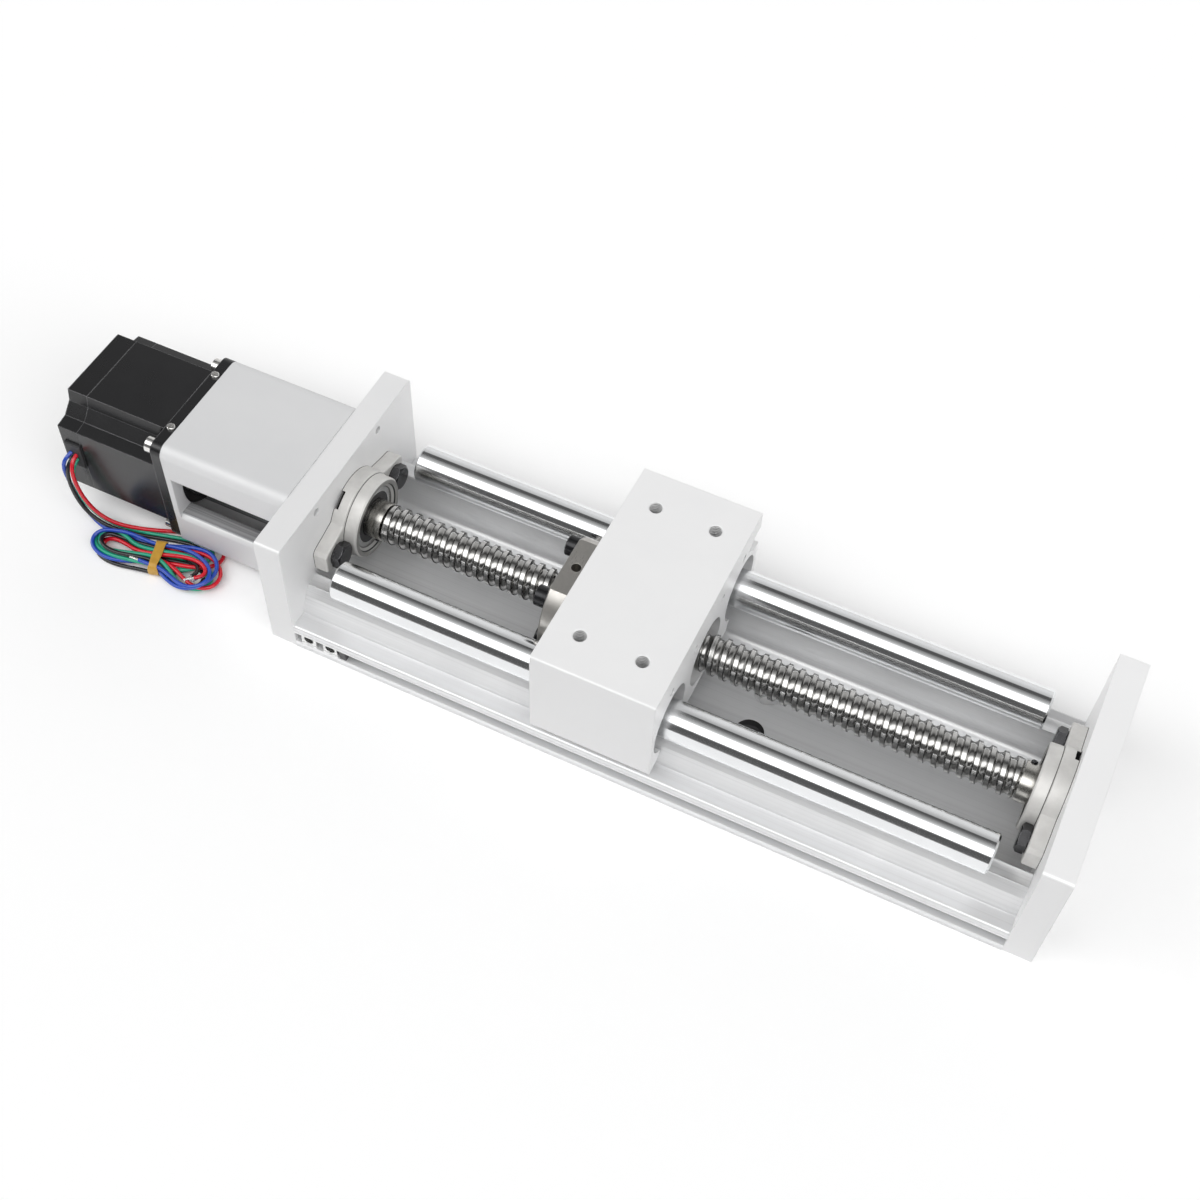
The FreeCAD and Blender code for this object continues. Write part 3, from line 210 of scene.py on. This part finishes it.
# ------------------------------------------------------------------ rubber band round the hank
def band():
    n_w = 9
    c, s = math.cos(math.radians(18)), math.sin(math.radians(18))
    cxm, cym = -221.2 + 54.05, -39.9
    loop = []
    hy, z0, z1, r = 7.15, 0.42, 7.05, 2.3
    N = 72
    # rounded rectangle in (v, z)
    per = []
    def arc(cv, cz, a0, a1, k=9):
        for i in range(k):
            a = math.radians(a0 + (a1 - a0) * i / (k - 1.0))
            per.append((cv + r * math.cos(a), cz + r * math.sin(a)))
    def run(p, q, k=8):
        for i in range(1, k):
            t = i / float(k)
            per.append((p[0] + (q[0] - p[0]) * t, p[1] + (q[1] - p[1]) * t))
    r = 2.3
    arc(hy - r, z1 - r, 0, 90)
    run((hy - r, z1), (-hy + r, z1), 10)
    arc(-hy + r, z1 - r, 90, 180)
    run((-hy, z1 - r), (-hy, z0 + r), 3)
    arc(-hy + r, z0 + r, 180, 270)
    run((-hy + r, z0), (hy - r, z0), 10)
    arc(hy - r, z0 + r, 270, 360)
    run((hy, z0 + r), (hy, z1 - r), 3)
    bm = bmesh.new()
    n = len(per)
    rings = []
    for i, (v, z) in enumerate(per):
        pv, pz = per[i - 1]
        nv, nz = per[(i + 1) % n]
        tv, tz = nv - pv, nz - pz
        l = math.hypot(tv, tz)
        nx_, nz_ = tz / l, -tv / l            # outward normal in (v, z)
        a = 2 * math.pi * i / n
        half = 2.02 + 0.22 * math.sin(a * 2 + 0.6) + 0.12 * math.sin(5 * a)
        shift = 0.30 * math.sin(a + 0.8)
        lift = 0.10 * math.sin(3 * a + 1.0)
        th = 0.36
        ring = []
        for (uu, tt) in ((-1.0, -0.55), (-1.04, 0.0), (-1.0, 0.55), (-0.86, 0.95), (-0.4, 1.06), (0.0, 1.0), (0.4, 1.06), (0.86, 0.95), (1.0, 0.55), (1.04, 0.0),
                         (1.0, -0.55), (0.86, -0.95), (0.4, -1.0), (0.0, -1.0), (-0.4, -1.0), (-0.86, -0.95)):
            x_ = uu * half + shift
            o = tt * th + (lift if z > 3 else 0.0)
            vv, zz = v + nx_ * o, z + nz_ * o
            X_ = cxm + x_ * c - vv * s
            Y_ = cym + x_ * s + vv * c
            ring.append(bm.verts.new((X_ * MM, Y_ * MM, max(zz, 0.06) * MM)))
        rings.append(ring)
    for i in range(n):
        a, b = rings[i], rings[(i + 1) % n]
        m = len(a)
        for k in range(m):
            bm.faces.new((a[k], a[(k + 1) % m], b[(k + 1) % m], b[k]))
    return mesh_object("band", bm)


band_ob = band()
# ------------------------------------------------------------------ materials
def new_mat(name):
    m = bpy.data.materials.new(name)
    m.use_nodes = True
    nt = m.node_tree
    nt.nodes.clear()
    out = nt.nodes.new("ShaderNodeOutputMaterial")
    bs = nt.nodes.new("ShaderNodeBsdfPrincipled")
    nt.links.new(bs.outputs[0], out.inputs[0])
    return m, nt, bs


def coords(nt, scale=(1, 1, 1), rot=(0, 0, 0)):
    tc = nt.nodes.new("ShaderNodeTexCoord")
    mp = nt.nodes.new("ShaderNodeMapping")
    mp.inputs["Scale"].default_value = scale
    mp.inputs["Rotation"].default_value = rot
    nt.links.new(tc.outputs["Object"], mp.inputs[0])
    return mp.outputs[0]


def noise(nt, vec, scale, detail=3.0, rough=0.5, dist=0.0):
    n = nt.nodes.new("ShaderNodeTexNoise")
    n.inputs["Scale"].default_value = scale
    n.inputs["Detail"].default_value = detail
    n.inputs["Roughness"].default_value = rough
    n.inputs["Distortion"].default_value = dist
    nt.links.new(vec, n.inputs["Vector"])
    return n.outputs["Fac"]


def remap(nt, fac, lo, hi, a=0.0, b=1.0):
    r = nt.nodes.new("ShaderNodeMapRange")
    r.inputs["From Min"].default_value = a
    r.inputs["From Max"].default_value = b
    r.inputs["To Min"].default_value = lo
    r.inputs["To Max"].default_value = hi
    nt.links.new(fac, r.inputs["Value"])
    return r.outputs[0]


def mixcol(nt, fac, c1, c2):
    mx = nt.nodes.new("ShaderNodeMix")
    mx.data_type = "RGBA"
    mx.clamp_factor = True
    for sock, val in ((mx.inputs[6], c1), (mx.inputs[7], c2)):
        if isinstance(val, (tuple, list)):
            sock.default_value = (val[0], val[1], val[2], 1.0)
        else:
            nt.links.new(val, sock)
    nt.links.new(fac, mx.inputs[0])
    return mx.outputs[2]


def bump(nt, bs, height, strength, distance, normal=None):
    b = nt.nodes.new("ShaderNodeBump")
    b.inputs["Strength"].default_value = strength
    b.inputs["Distance"].default_value = distance
    nt.links.new(height, b.inputs["Height"])
    if normal is not None:
        nt.links.new(normal, b.inputs["Normal"])
    nt.links.new(b.outputs[0], bs.inputs["Normal"])
    return b.outputs[0]


def edge_round(nt, radius):
    b = nt.nodes.new("ShaderNodeBevel")
    b.samples = 4
    b.inputs["Radius"].default_value = radius
    return b.outputs[0]


def math_node(nt, op, a, b=None):
    m = nt.nodes.new("ShaderNodeMath")
    m.operation = op
    for i, v in enumerate((a, b)):
        if v is None:
            continue
        if isinstance(v, (int, float)):
            m.inputs[i].default_value = v
        else:
            nt.links.new(v, m.inputs[i])
    return m.outputs[0]


def edge_mask(nt, radius):
    """1 on sharp edges, 0 on the faces: how far the rounded normal leaves the real one"""
    b = nt.nodes.new("ShaderNodeBevel")
    b.samples = 4
    b.inputs["Radius"].default_value = radius
    g = nt.nodes.new("ShaderNodeNewGeometry")
    d = nt.nodes.new("ShaderNodeVectorMath")
    d.operation = "DOT_PRODUCT"
    nt.links.new(b.outputs[0], d.inputs[0])
    nt.links.new(g.outputs["Normal"], d.inputs[1])
    return remap(nt, d.outputs["Value"], 1.0, 0.0, 0.86, 0.985)


def axis_parts(nt, y0=0.0, z0=AX_Z):
    """object x, y, z and the distance from the line y = y0, z = z0"""
    tc = nt.nodes.new("ShaderNodeTexCoord")
    sp = nt.nodes.new("ShaderNodeSeparateXYZ")
    nt.links.new(tc.outputs["Object"], sp.inputs[0])
    x, y, z = sp.outputs[0], sp.outputs[1], sp.outputs[2]
    dy = math_node(nt, "SUBTRACT", y, y0)
    dz = math_node(nt, "SUBTRACT", z, z0)
    r = math_node(nt, "SQRT", math_node(nt, "ADD", math_node(nt, "MULTIPLY", dy, dy), math_node(nt, "MULTIPLY", dz, dz)))
    return x, y, z, r


def side_shade_mask(nt):
    """1 on faces that look along Y, 0 on the others: the mask for painted side shade"""
    tc = nt.nodes.new("ShaderNodeTexCoord")
    sp = nt.nodes.new("ShaderNodeSeparateXYZ")
    nt.links.new(tc.outputs["Normal"], sp.inputs[0])
    return remap(nt, math_node(nt, "ABSOLUTE", sp.outputs[1]), 0.0, 1.0, 0.55, 0.98)


def shade_over(nt, bs, fac, colour, rough=None):
    """mixes another colour, and roughness, over what the shader has already"""
    src = bs.inputs["Base Color"].links[0].from_socket
    nt.links.new(mixcol(nt, fac, src, colour), bs.inputs["Base Color"])
    if rough is not None:
        r0 = bs.inputs["Roughness"].links[0].from_socket
        a = math_node(nt, "MULTIPLY", r0, math_node(nt, "SUBTRACT", 1.0, fac))
        nt.links.new(math_node(nt, "ADD", a, math_node(nt, "MULTIPLY", fac, rough)), bs.inputs["Roughness"])


def cast_metal(name, col, col2, metallic, rough, rough2, grain, grain_d, coarse=60.0, streak=None, bevel=0.0003, spec=0.5, edge_glint=0.0, edge_glint_col=(0.9, 0.9, 0.9)):
    """matte or satin metal: fine grain in bump and roughness, slow colour drift, optional streaks along one axis,
    optional painted highlight lightening the edges
    """
    m, nt, bs = new_mat(name)
    v = coords(nt)
    g = noise(nt, v, grain, 2.0, 0.6)
    c = noise(nt, v, coarse, 4.0, 0.55, 0.3)
    colour = mixcol(nt, remap(nt, c, 0.0, 1.0, 0.35, 0.65), col, col2)
    height = g
    roughness = math_node(nt, "ADD", remap(nt, c, rough, rough2, 0.3, 0.7), remap(nt, g, -0.03, 0.03))
    if streak:
        sv = coords(nt, streak)
        s = noise(nt, sv, 1.0, 5.0, 0.65)
        colour = mixcol(nt, remap(nt, s, 0.0, 0.30, 0.35, 0.75), colour, tuple(0.78 * q for q in col))
        height = math_node(nt, "ADD", g, math_node(nt, "MULTIPLY", s, 2.5))
        roughness = math_node(nt, "ADD", roughness, remap(nt, s, -0.06, 0.06))
    # painted highlight: edges lightened towards a light colour, standing in for glints of light along the edges
    if edge_glint > 0.0:
        colour = mixcol(nt, math_node(nt, "MULTIPLY", edge_mask(nt, bevel), remap(nt, c, 0.3 * edge_glint, edge_glint, 0.35, 0.6)), colour, edge_glint_col)
    nt.links.new(colour, bs.inputs["Base Color"])
    nt.links.new(roughness, bs.inputs["Roughness"])
    bs.inputs["Metallic"].default_value = metallic
    bs.inputs["Specular IOR Level"].default_value = spec
    bump(nt, bs, height, 0.35, grain_d, edge_round(nt, bevel) if bevel else None)
    return m


def plastic(name, col, col2, rough, grain, grain_d, coat=0.0, spec=0.5, coarse=40.0, sheen=0.0, bevel=0.0):
    m, nt, bs = new_mat(name)
    v = coords(nt)
    g = noise(nt, v, grain, 2.0, 0.6)
    c = noise(nt, v, coarse, 3.0)
    nt.links.new(mixcol(nt, remap(nt, c, 0.0, 1.0, 0.3, 0.7), col, col2), bs.inputs["Base Color"])
    nt.links.new(remap(nt, c, rough * 0.85, rough * 1.2, 0.3, 0.7), bs.inputs["Roughness"])
    bs.inputs["Specular IOR Level"].default_value = spec
    bs.inputs["Coat Weight"].default_value = coat
    bs.inputs["Coat Roughness"].default_value = 0.08
    bs.inputs["Sheen Weight"].default_value = sheen
    bump(nt, bs, g, 0.3, grain_d, edge_round(nt, bevel) if bevel else None)
    return m


def ground(name, col, col2, rough, axis_scale, aniso=0.0, bevel=0.00015, metallic=1.0):
    """ground or polished steel: fine rings or lines stretched by axis_scale, small smudges"""
    m, nt, bs = new_mat(name)
    lines = noise(nt, coords(nt, axis_scale), 1.0, 4.0, 0.6)
    smudge = noise(nt, coords(nt), 90.0, 4.0, 0.6, 0.5)
    nt.links.new(mixcol(nt, remap(nt, smudge, 0.0, 1.0, 0.35, 0.65), col, col2), bs.inputs["Base Color"])
    r = math_node(nt, "ADD", remap(nt, lines, rough * 0.7, rough * 1.3, 0.3, 0.7), remap(nt, smudge, 0.0, rough * 0.4, 0.4, 0.8))
    nt.links.new(r, bs.inputs["Roughness"])
    bs.inputs["Metallic"].default_value = metallic
    bs.inputs["Anisotropic"].default_value = aniso
    bump(nt, bs, lines, 0.12, 0.00002, edge_round(nt, bevel) if bevel else None)
    return m


# the lightened edges asked for below on the housing, bolts, motor and coupling are a painted highlight
M = {}
M["extruded_aluminium"] = cast_metal("extruded_aluminium", (0.84, 0.843, 0.848), (0.79, 0.794, 0.80), 0.54, 0.34, 0.41, 3200.0, 0.000008, 25.0, streak=(3.0, 700.0, 700.0), bevel=0.00045)
M["plate_aluminium"] = cast_metal("plate_aluminium", (0.86, 0.86, 0.862), (0.83, 0.832, 0.836), 0.22, 0.42, 0.50, 5200.0, 0.000014, 30.0, bevel=0.0004)
M["bracket_aluminium"] = cast_metal("bracket_aluminium", (0.755, 0.757, 0.762), (0.705, 0.709, 0.716), 0.30, 0.56, 0.64, 4200.0, 0.000016, 14.0, bevel=0.0005)
M["carriage_aluminium"] = cast_metal("carriage_aluminium", (0.90, 0.90, 0.90), (0.875, 0.875, 0.878), 0.16, 0.45, 0.52, 5200.0, 0.000014, 30.0, bevel=0.0004)
M["rail_chrome"] = ground("rail_chrome", (0.88, 0.89, 0.90), (0.84, 0.85, 0.86), 0.15, (9000.0, 30.0, 30.0), aniso=0.84)
rn = M["rail_chrome"].node_tree
rb = [n for n in rn.nodes if n.type == "BSDF_PRINCIPLED"][0]
rt = rn.nodes.new("ShaderNodeTangent")
rt.direction_type = "RADIAL"
rt.axis = "X"
rn.links.new(rt.outputs[0], rb.inputs["Tangent"])
rb.inputs["Anisotropic Rotation"].default_value = 0.25
M["screw_steel"] = ground("screw_steel", (0.66, 0.655, 0.64), (0.52, 0.515, 0.505), 0.14, (9000.0, 500.0, 500.0))
M["bearing_cast"] = cast_metal("bearing_cast", (0.74, 0.732, 0.71), (0.66, 0.65, 0.632), 0.35, 0.44, 0.56, 1900.0, 0.00006, 150.0, bevel=0.0004, edge_glint=0.25)
M["bearing_steel"] = ground("bearing_steel", (0.50, 0.50, 0.49), (0.42, 0.42, 0.41), 0.20, (9000.0, 700.0, 700.0))
M["inner_ring_steel"] = ground("inner_ring_steel", (0.64, 0.625, 0.59), (0.50, 0.49, 0.46), 0.22, (9000.0, 700.0, 700.0))
M["black_steel"] = cast_metal("black_steel", (0.024, 0.024, 0.026), (0.014, 0.014, 0.016), 0.45, 0.17, 0.27, 3000.0, 0.00001, 300.0, bevel=0.00035, edge_glint=0.6, edge_glint_col=(0.42, 0.42, 0.44))
M["bright_screw_steel"] = ground("bright_screw_steel", (0.85, 0.84, 0.82), (0.74, 0.73, 0.71), 0.20, (3000.0, 3000.0, 3000.0), bevel=0.0002)
M["nut_steel"] = ground("nut_steel", (0.60, 0.58, 0.55), (0.48, 0.465, 0.44), 0.34, (9000.0, 400.0, 400.0), bevel=0.0004)
M["stator_black"] = cast_metal("stator_black", (0.017, 0.017, 0.018), (0.012, 0.012, 0.013), 0.1, 0.20, 0.28, 2600.0, 0.00001, 60.0, bevel=0.0005, spec=0.6, edge_glint=0.75, edge_glint_col=(0.30, 0.30, 0.31))
M["motor_cap_black"] = cast_metal("motor_cap_black", (0.015, 0.015, 0.016), (0.010, 0.010, 0.011), 0.15, 0.22, 0.32, 1900.0, 0.00002, 90.0, bevel=0.0005, spec=0.6, edge_glint=0.75, edge_glint_col=(0.30, 0.30, 0.31))
M["coil_copper"] = ground("coil_copper", (0.80, 0.42, 0.20), (0.62, 0.28, 0.12), 0.25, (300.0, 5000.0, 5000.0))
M["rotor_steel"] = ground("rotor_steel", (0.46, 0.46, 0.47), (0.34, 0.34, 0.35), 0.30, (9000.0, 100.0, 100.0))
M["seal_rubber"] = plastic("seal_rubber", (0.014, 0.014, 0.016), (0.020, 0.020, 0.020), 0.50, 3000.0, 0.00001)
M["cage_plastic"] = plastic("cage_plastic", (0.045, 0.045, 0.050), (0.06, 0.06, 0.062), 0.42, 3000.0, 0.00001)
M["coupling_dark"] = cast_metal("coupling_dark", (0.10, 0.10, 0.105), (0.075, 0.075, 0.08), 0.7, 0.32, 0.42, 2600.0, 0.00001, 80.0, bevel=0.0004, edge_glint=0.4)
M["spider_plastic"] = plastic("spider_plastic", (0.42, 0.045, 0.035), (0.34, 0.03, 0.03), 0.45, 1800.0, 0.00002)
M["slot_nut_steel"] = ground("slot_nut_steel", (0.80, 0.80, 0.79), (0.66, 0.66, 0.65), 0.26, (1200.0, 1200.0, 4000.0), bevel=0.0003)
M["slot_stop_plastic"] = plastic("slot_stop_plastic", (0.055, 0.055, 0.057), (0.075, 0.075, 0.078), 0.5, 2500.0, 0.00001, bevel=0.0003)
M["grommet_rubber"] = plastic("grommet_rubber", (0.018, 0.018, 0.020), (0.028, 0.028, 0.030), 0.5, 2200.0, 0.00002, bevel=0.0004)
M["wire_red"] = plastic("wire_red", (0.66, 0.006, 0.022), (0.56, 0.004, 0.018), 0.26, 900.0, 0.00001, coat=0.35)
M["wire_green"] = plastic("wire_green", (0.012, 0.36, 0.215), (0.010, 0.30, 0.185), 0.28, 900.0, 0.00001, coat=0.3)
M["wire_black"] = plastic("wire_black", (0.010, 0.010, 0.012), (0.016, 0.016, 0.018), 0.26, 900.0, 0.00001, coat=0.3)
M["wire_blue"] = plastic("wire_blue", (0.018, 0.075, 0.46), (0.014, 0.055, 0.38), 0.26, 900.0, 0.00001, coat=0.35)
M["wire_bundle"] = M["wire_black"]
M["band_rubber"] = plastic("band_rubber", (0.60, 0.34, 0.045), (0.50, 0.27, 0.035), 0.42, 1300.0, 0.00003, coarse=350.0, sheen=0.1)
M["tinned"] = ground("tinned_copper", (0.86, 0.85, 0.84), (0.74, 0.72, 0.69), 0.22, (2500.0, 2500.0, 2500.0), bevel=0.0)

# faces that look along Y get painted shade, darker than the tops; the far plate (x > 0.15) is given a lighter colour
for slot, col in (("plate_aluminium", (0.735, 0.735, 0.738)), ("carriage_aluminium", (0.735, 0.735, 0.738)), ("bracket_aluminium", (0.70, 0.702, 0.708))):
    nt = M[slot].node_tree
    bs = [n for n in nt.nodes if n.type == "BSDF_PRINCIPLED"][0]
    if slot == "plate_aluminium":
        px, py, pz, pr = axis_parts(nt)
        shade_over(nt, bs, math_node(nt, "GREATER_THAN", px, 0.15), (0.95, 0.95, 0.952))
    if slot == "bracket_aluminium":
        bx_, by_, bz_, br_ = axis_parts(nt)
        ntc = nt.nodes.new("ShaderNodeTexCoord")
        nsp = nt.nodes.new("ShaderNodeSeparateXYZ")
        nt.links.new(ntc.outputs["Normal"], nsp.inputs[0])
        # painted shade: upward faces low in the bracket (the window sills) darkened, with long machining lines in the
        # shade colour
        sill_shade = math_node(nt, "MULTIPLY", math_node(nt, "GREATER_THAN", nsp.outputs[2], 0.9), math_node(nt, "LESS_THAN", bz_, 0.040))
        lines = noise(nt, coords(nt, (6.0, 900.0, 900.0)), 1.0, 5.0, 0.7)
        shade_over(nt, bs, sill_shade, mixcol(nt, remap(nt, lines, 0.0, 1.0, 0.38, 0.62), (0.20, 0.202, 0.21), (0.46, 0.463, 0.47)), 0.36)
    # painted shade: faces looking along Y darkened towards the side colour
    shade_over(nt, bs, side_shade_mask(nt), col)

# extrusion: painted shade on the channel floor, darker in the middle, and long fine lines
nt = M["extruded_aluminium"].node_tree
bs = [n for n in nt.nodes if n.type == "BSDF_PRINCIPLED"][0]
ex, ey, ez, er = axis_parts(nt)
channel_shade = math_node(nt, "MULTIPLY", math_node(nt, "LESS_THAN", ez, 0.0125), math_node(nt, "LESS_THAN", math_node(nt, "ABSOLUTE", ey), 0.0165))
slow = noise(nt, coords(nt, (9.0, 30.0, 30.0)), 1.0, 1.0, 0.4)
shade_over(nt, bs, math_node(nt, "MULTIPLY", channel_shade, remap(nt, slow, 0.0, 0.45, 0.40, 0.60)), (0.62, 0.623, 0.63))
fine = noise(nt, coords(nt, (2.0, 1500.0, 1500.0)), 1.0, 4.0, 0.7)
shade_over(nt, bs, remap(nt, fine, 0.0, 0.30, 0.52, 0.66), (0.56, 0.562, 0.568))
# counterbored floor holes on the near side: painted shade on the walls and the bottom
hu = math_node(nt, "SUBTRACT", math_node(nt, "ABSOLUTE", math_node(nt, "SUBTRACT", ex, 0.05405)), 0.032)
hv = math_node(nt, "SUBTRACT", math_node(nt, "ABSOLUTE", ey), 0.010)
hd = math_node(nt, "SQRT", math_node(nt, "ADD", math_node(nt, "MULTIPLY", hu, hu), math_node(nt, "MULTIPLY", hv, hv)))
hole_shade = math_node(nt, "MULTIPLY", math_node(nt, "LESS_THAN", hd, 0.00590), math_node(nt, "LESS_THAN", ez, 0.00765))
shade_over(nt, bs, math_node(nt, "MULTIPLY", hole_shade, math_node(nt, "LESS_THAN", ey, 0.0)), (0.09, 0.09, 0.092), 0.45)

# housing: painted shade in the creases at the plate and at the boss, in the notch, and in the bore, as a darker recess
# with a dark ring
m = M["bearing_cast"]
nt = m.node_tree
bs = [n for n in nt.nodes if n.type == "BSDF_PRINCIPLED"][0]
hx, hy, hz, hr = axis_parts(nt)
hxa = math_node(nt, "ABSOLUTE", math_node(nt, "SUBTRACT", hx, 0.05405))
# painted shade in the bore in front of the bearing
bore_front_shade = math_node(nt, "MULTIPLY", math_node(nt, "LESS_THAN", hxa, 0.13720), math_node(nt, "LESS_THAN", hr, 0.01655))
shade_over(nt, bs, bore_front_shade, (0.30, 0.295, 0.285), 0.50)
# painted shade: the recess darker towards the bearing, with a dark ring and a darker centre
shade_over(nt, bs, math_node(nt, "LESS_THAN", hr, 0.01491), (0.52, 0.515, 0.50), 0.35)
shade_over(nt, bs, math_node(nt, "MULTIPLY", math_node(nt, "LESS_THAN", hr, 0.01482), math_node(nt, "GREATER_THAN", hr, 0.01440)), (0.05, 0.05, 0.05), 0.5)
shade_over(nt, bs, math_node(nt, "LESS_THAN", hr, 0.01345), (0.14, 0.138, 0.132), 0.35)
# painted shade: dark line in the crease between flange and boss
crease_shade = math_node(nt, "LESS_THAN", math_node(nt, "ABSOLUTE", math_node(nt, "SUBTRACT", hxa, 0.14222)), 0.00016)
crease_shade = math_node(nt, "MULTIPLY", crease_shade, math_node(nt, "GREATER_THAN", hr, 0.0165))
crease_shade = math_node(nt, "MULTIPLY", crease_shade, math_node(nt, "LESS_THAN", hr, 0.0182))
shade_over(nt, bs, crease_shade, (0.10, 0.10, 0.10), 0.7)
# painted shade: dark line where the flange meets the plate
plate_contact_shade = math_node(nt, "GREATER_THAN", hxa, 0.14815)
shade_over(nt, bs, plate_contact_shade, (0.08, 0.08, 0.08), 0.7)
# painted shade: near-black notch
notch_shade = math_node(nt, "MULTIPLY", math_node(nt, "GREATER_THAN", hxa, 0.14640), math_node(nt, "LESS_THAN", hr, 0.01795))
shade_over(nt, bs, notch_shade, (0.012, 0.012, 0.012), 0.8)

# screw: painted shade darkening the groove towards its root, and a painted dark line of shade where groove and land
# meet
m = M["screw_steel"]
nt = m.node_tree
bs = [n for n in nt.nodes if n.type == "BSDF_PRINCIPLED"][0]
sx, sy, sz, sr = axis_parts(nt)
shade_over(nt, bs, remap(nt, sr, 0.8, 0.0, 0.0066, 0.0078), (0.33, 0.325, 0.315))
# painted shade: dark line between groove and land, between the plates
line = math_node(nt, "MULTIPLY", math_node(nt, "GREATER_THAN", sr, 0.00758), math_node(nt, "LESS_THAN", sr, 0.00794))
line = math_node(nt, "MULTIPLY", line, math_node(nt, "LESS_THAN", math_node(nt, "ABSOLUTE", math_node(nt, "SUBTRACT", sx, 0.05405)), 0.1300))
shade_over(nt, bs, line, (0.02, 0.02, 0.02), 0.3)

# carriage: cut threads in the four table holes, lighter inside, with painted shade in the grooves
m = M["carriage_aluminium"]
nt = m.node_tree
bs = [n for n in nt.nodes if n.type == "BSDF_PRINCIPLED"][0]
tx, ty, tz, tr = axis_parts(nt)
du = math_node(nt, "SUBTRACT", math_node(nt, "ABSOLUTE", math_node(nt, "SUBTRACT", tx, 0.03556)), 0.01256)
dv = math_node(nt, "SUBTRACT", math_node(nt, "ABSOLUTE", ty), 0.03335)
hole_r = math_node(nt, "SQRT", math_node(nt, "ADD", math_node(nt, "MULTIPLY", du, du), math_node(nt, "MULTIPLY", dv, dv)))
inside = math_node(nt, "MULTIPLY", math_node(nt, "LESS_THAN", hole_r, 0.00262), math_node(nt, "LESS_THAN", tz, 0.0626))
turn = math_node(nt, "DIVIDE", math_node(nt, "ARCTAN2", dv, du), 2.0 * math.pi)
wave = math_node(nt, "SINE", math_node(nt, "MULTIPLY", math_node(nt, "ADD", math_node(nt, "DIVIDE", tz, 0.001), turn), 2.0 * math.pi))
tb = nt.nodes.new("ShaderNodeBump")
tb.inputs["Strength"].default_value = 1.0
tb.inputs["Distance"].default_value = 0.00013
nt.links.new(math_node(nt, "MULTIPLY", wave, inside), tb.inputs["Height"])
nt.links.new(bs.inputs["Normal"].links[0].from_socket, tb.inputs["Normal"])
nt.links.new(tb.outputs[0], bs.inputs["Normal"])
shade_over(nt, bs, inside, (0.97, 0.97, 0.97), 0.22)
# painted shade in the thread grooves
thread_groove_shade = math_node(nt, "MULTIPLY", inside, remap(nt, wave, 1.0, 0.0, -0.9, -0.2))
shade_over(nt, bs, thread_groove_shade, (0.30, 0.30, 0.30), 0.5)

slot_of = {}


def find_subparts(d):
    if isinstance(d, dict):
        for k, v in d.items():
            if k == "subparts" and isinstance(v, list):
                for s in v:
                    if isinstance(s, dict) and "node" in s and "material_slot" in s:
                        slot_of[s["node"]] = s["material_slot"]
            else:
                find_subparts(v)
    elif isinstance(d, list):
        for v in d:
            find_subparts(v)


find_subparts(frame["record"])


def dress(ob, mat):
    ob.data.materials.clear()
    ob.data.materials.append(mat)


for n, ob in nodes.items():
    dress(ob, M[slot_of[n]])

for name in leads:
    dress(leads[name], M["wire_" + name])
    dress(tips[name], M["tinned"])
dress(band_ob, M["band_rubber"])
# ------------------------------------------------------------------ what rides on what, and what stands for what
for name, ob in leads.items():
    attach(ob, "base")
    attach(tips[name], "base")
    if name == "red":
        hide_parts("wire_red", "wire_hank")
    else:
        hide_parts("wire_" + name)
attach(band_ob, "base")
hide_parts("rubber_band")

# ------------------------------------------------------------------ floor and light
bm = bmesh.new()
for x, y in ((-4, -4), (4, -4), (4, 4), (-4, 4)):
    bm.verts.new((x, y, -0.00005))
bm.verts.ensure_lookup_table()
bm.faces.new(bm.verts[:])
floor = mesh_object("floor", bm, smooth=False)
fm, fnt, fbs = new_mat("floor_white")
fbs.inputs["Base Color"].default_value = (0.985, 0.985, 0.985, 1.0)
fbs.inputs["Roughness"].default_value = 0.9
fbs.inputs["Specular IOR Level"].default_value = 0.1
dress(floor, fm)

world = bpy.data.worlds.new("studio")
scene.world = world
world.use_nodes = True
wn = world.node_tree
wn.nodes.clear()
wout = wn.nodes.new("ShaderNodeOutputWorld")
wbg = wn.nodes.new("ShaderNodeBackground")
wn.links.new(wbg.outputs[0], wout.inputs[0])
tc = wn.nodes.new("ShaderNodeTexCoord")
sep = wn.nodes.new("ShaderNodeSeparateXYZ")
wn.links.new(tc.outputs["Generated"], sep.inputs[0])
# angle in the YZ plane: 0 at the front horizon, 0.5 overhead, 1 at the rear horizon
neg = math_node(wn, "MULTIPLY", sep.outputs[1], -1.0)
ang = math_node(wn, "ARCTAN2", sep.outputs[2], neg)
frac = math_node(wn, "DIVIDE", ang, math.pi)
ramp = wn.nodes.new("ShaderNodeValToRGB")
wn.links.new(frac, ramp.inputs[0])
els = ramp.color_ramp.elements
stops = [(0.0, 0.042), (0.190, 0.030), (0.212, 0.040), (0.230, 0.62), (0.270, 1.0), (0.405, 0.96), (0.437, 0.40), (0.470, 0.22), (0.505, 0.145), (0.560, 0.100),
         (0.600, 0.030), (0.640, 0.030), (0.675, 0.055), (0.700, 0.100), (0.728, 0.150), (0.785, 0.222), (0.840, 0.260), (0.895, 0.276), (1.0, 0.272)]
els[0].position, els[0].color = stops[0][0], (stops[0][1],) * 3 + (1.0,)
els[1].position, els[1].color = stops[-1][0], (stops[-1][1],) * 3 + (1.0,)
for p, v in stops[1:-1]:
    e = els.new(p)
    e.color = (v, v, v, 1.0)
ramp.color_ramp.interpolation = "LINEAR"
wn.links.new(ramp.outputs[0], wbg.inputs[0])
wbg.inputs[1].default_value = 2.92
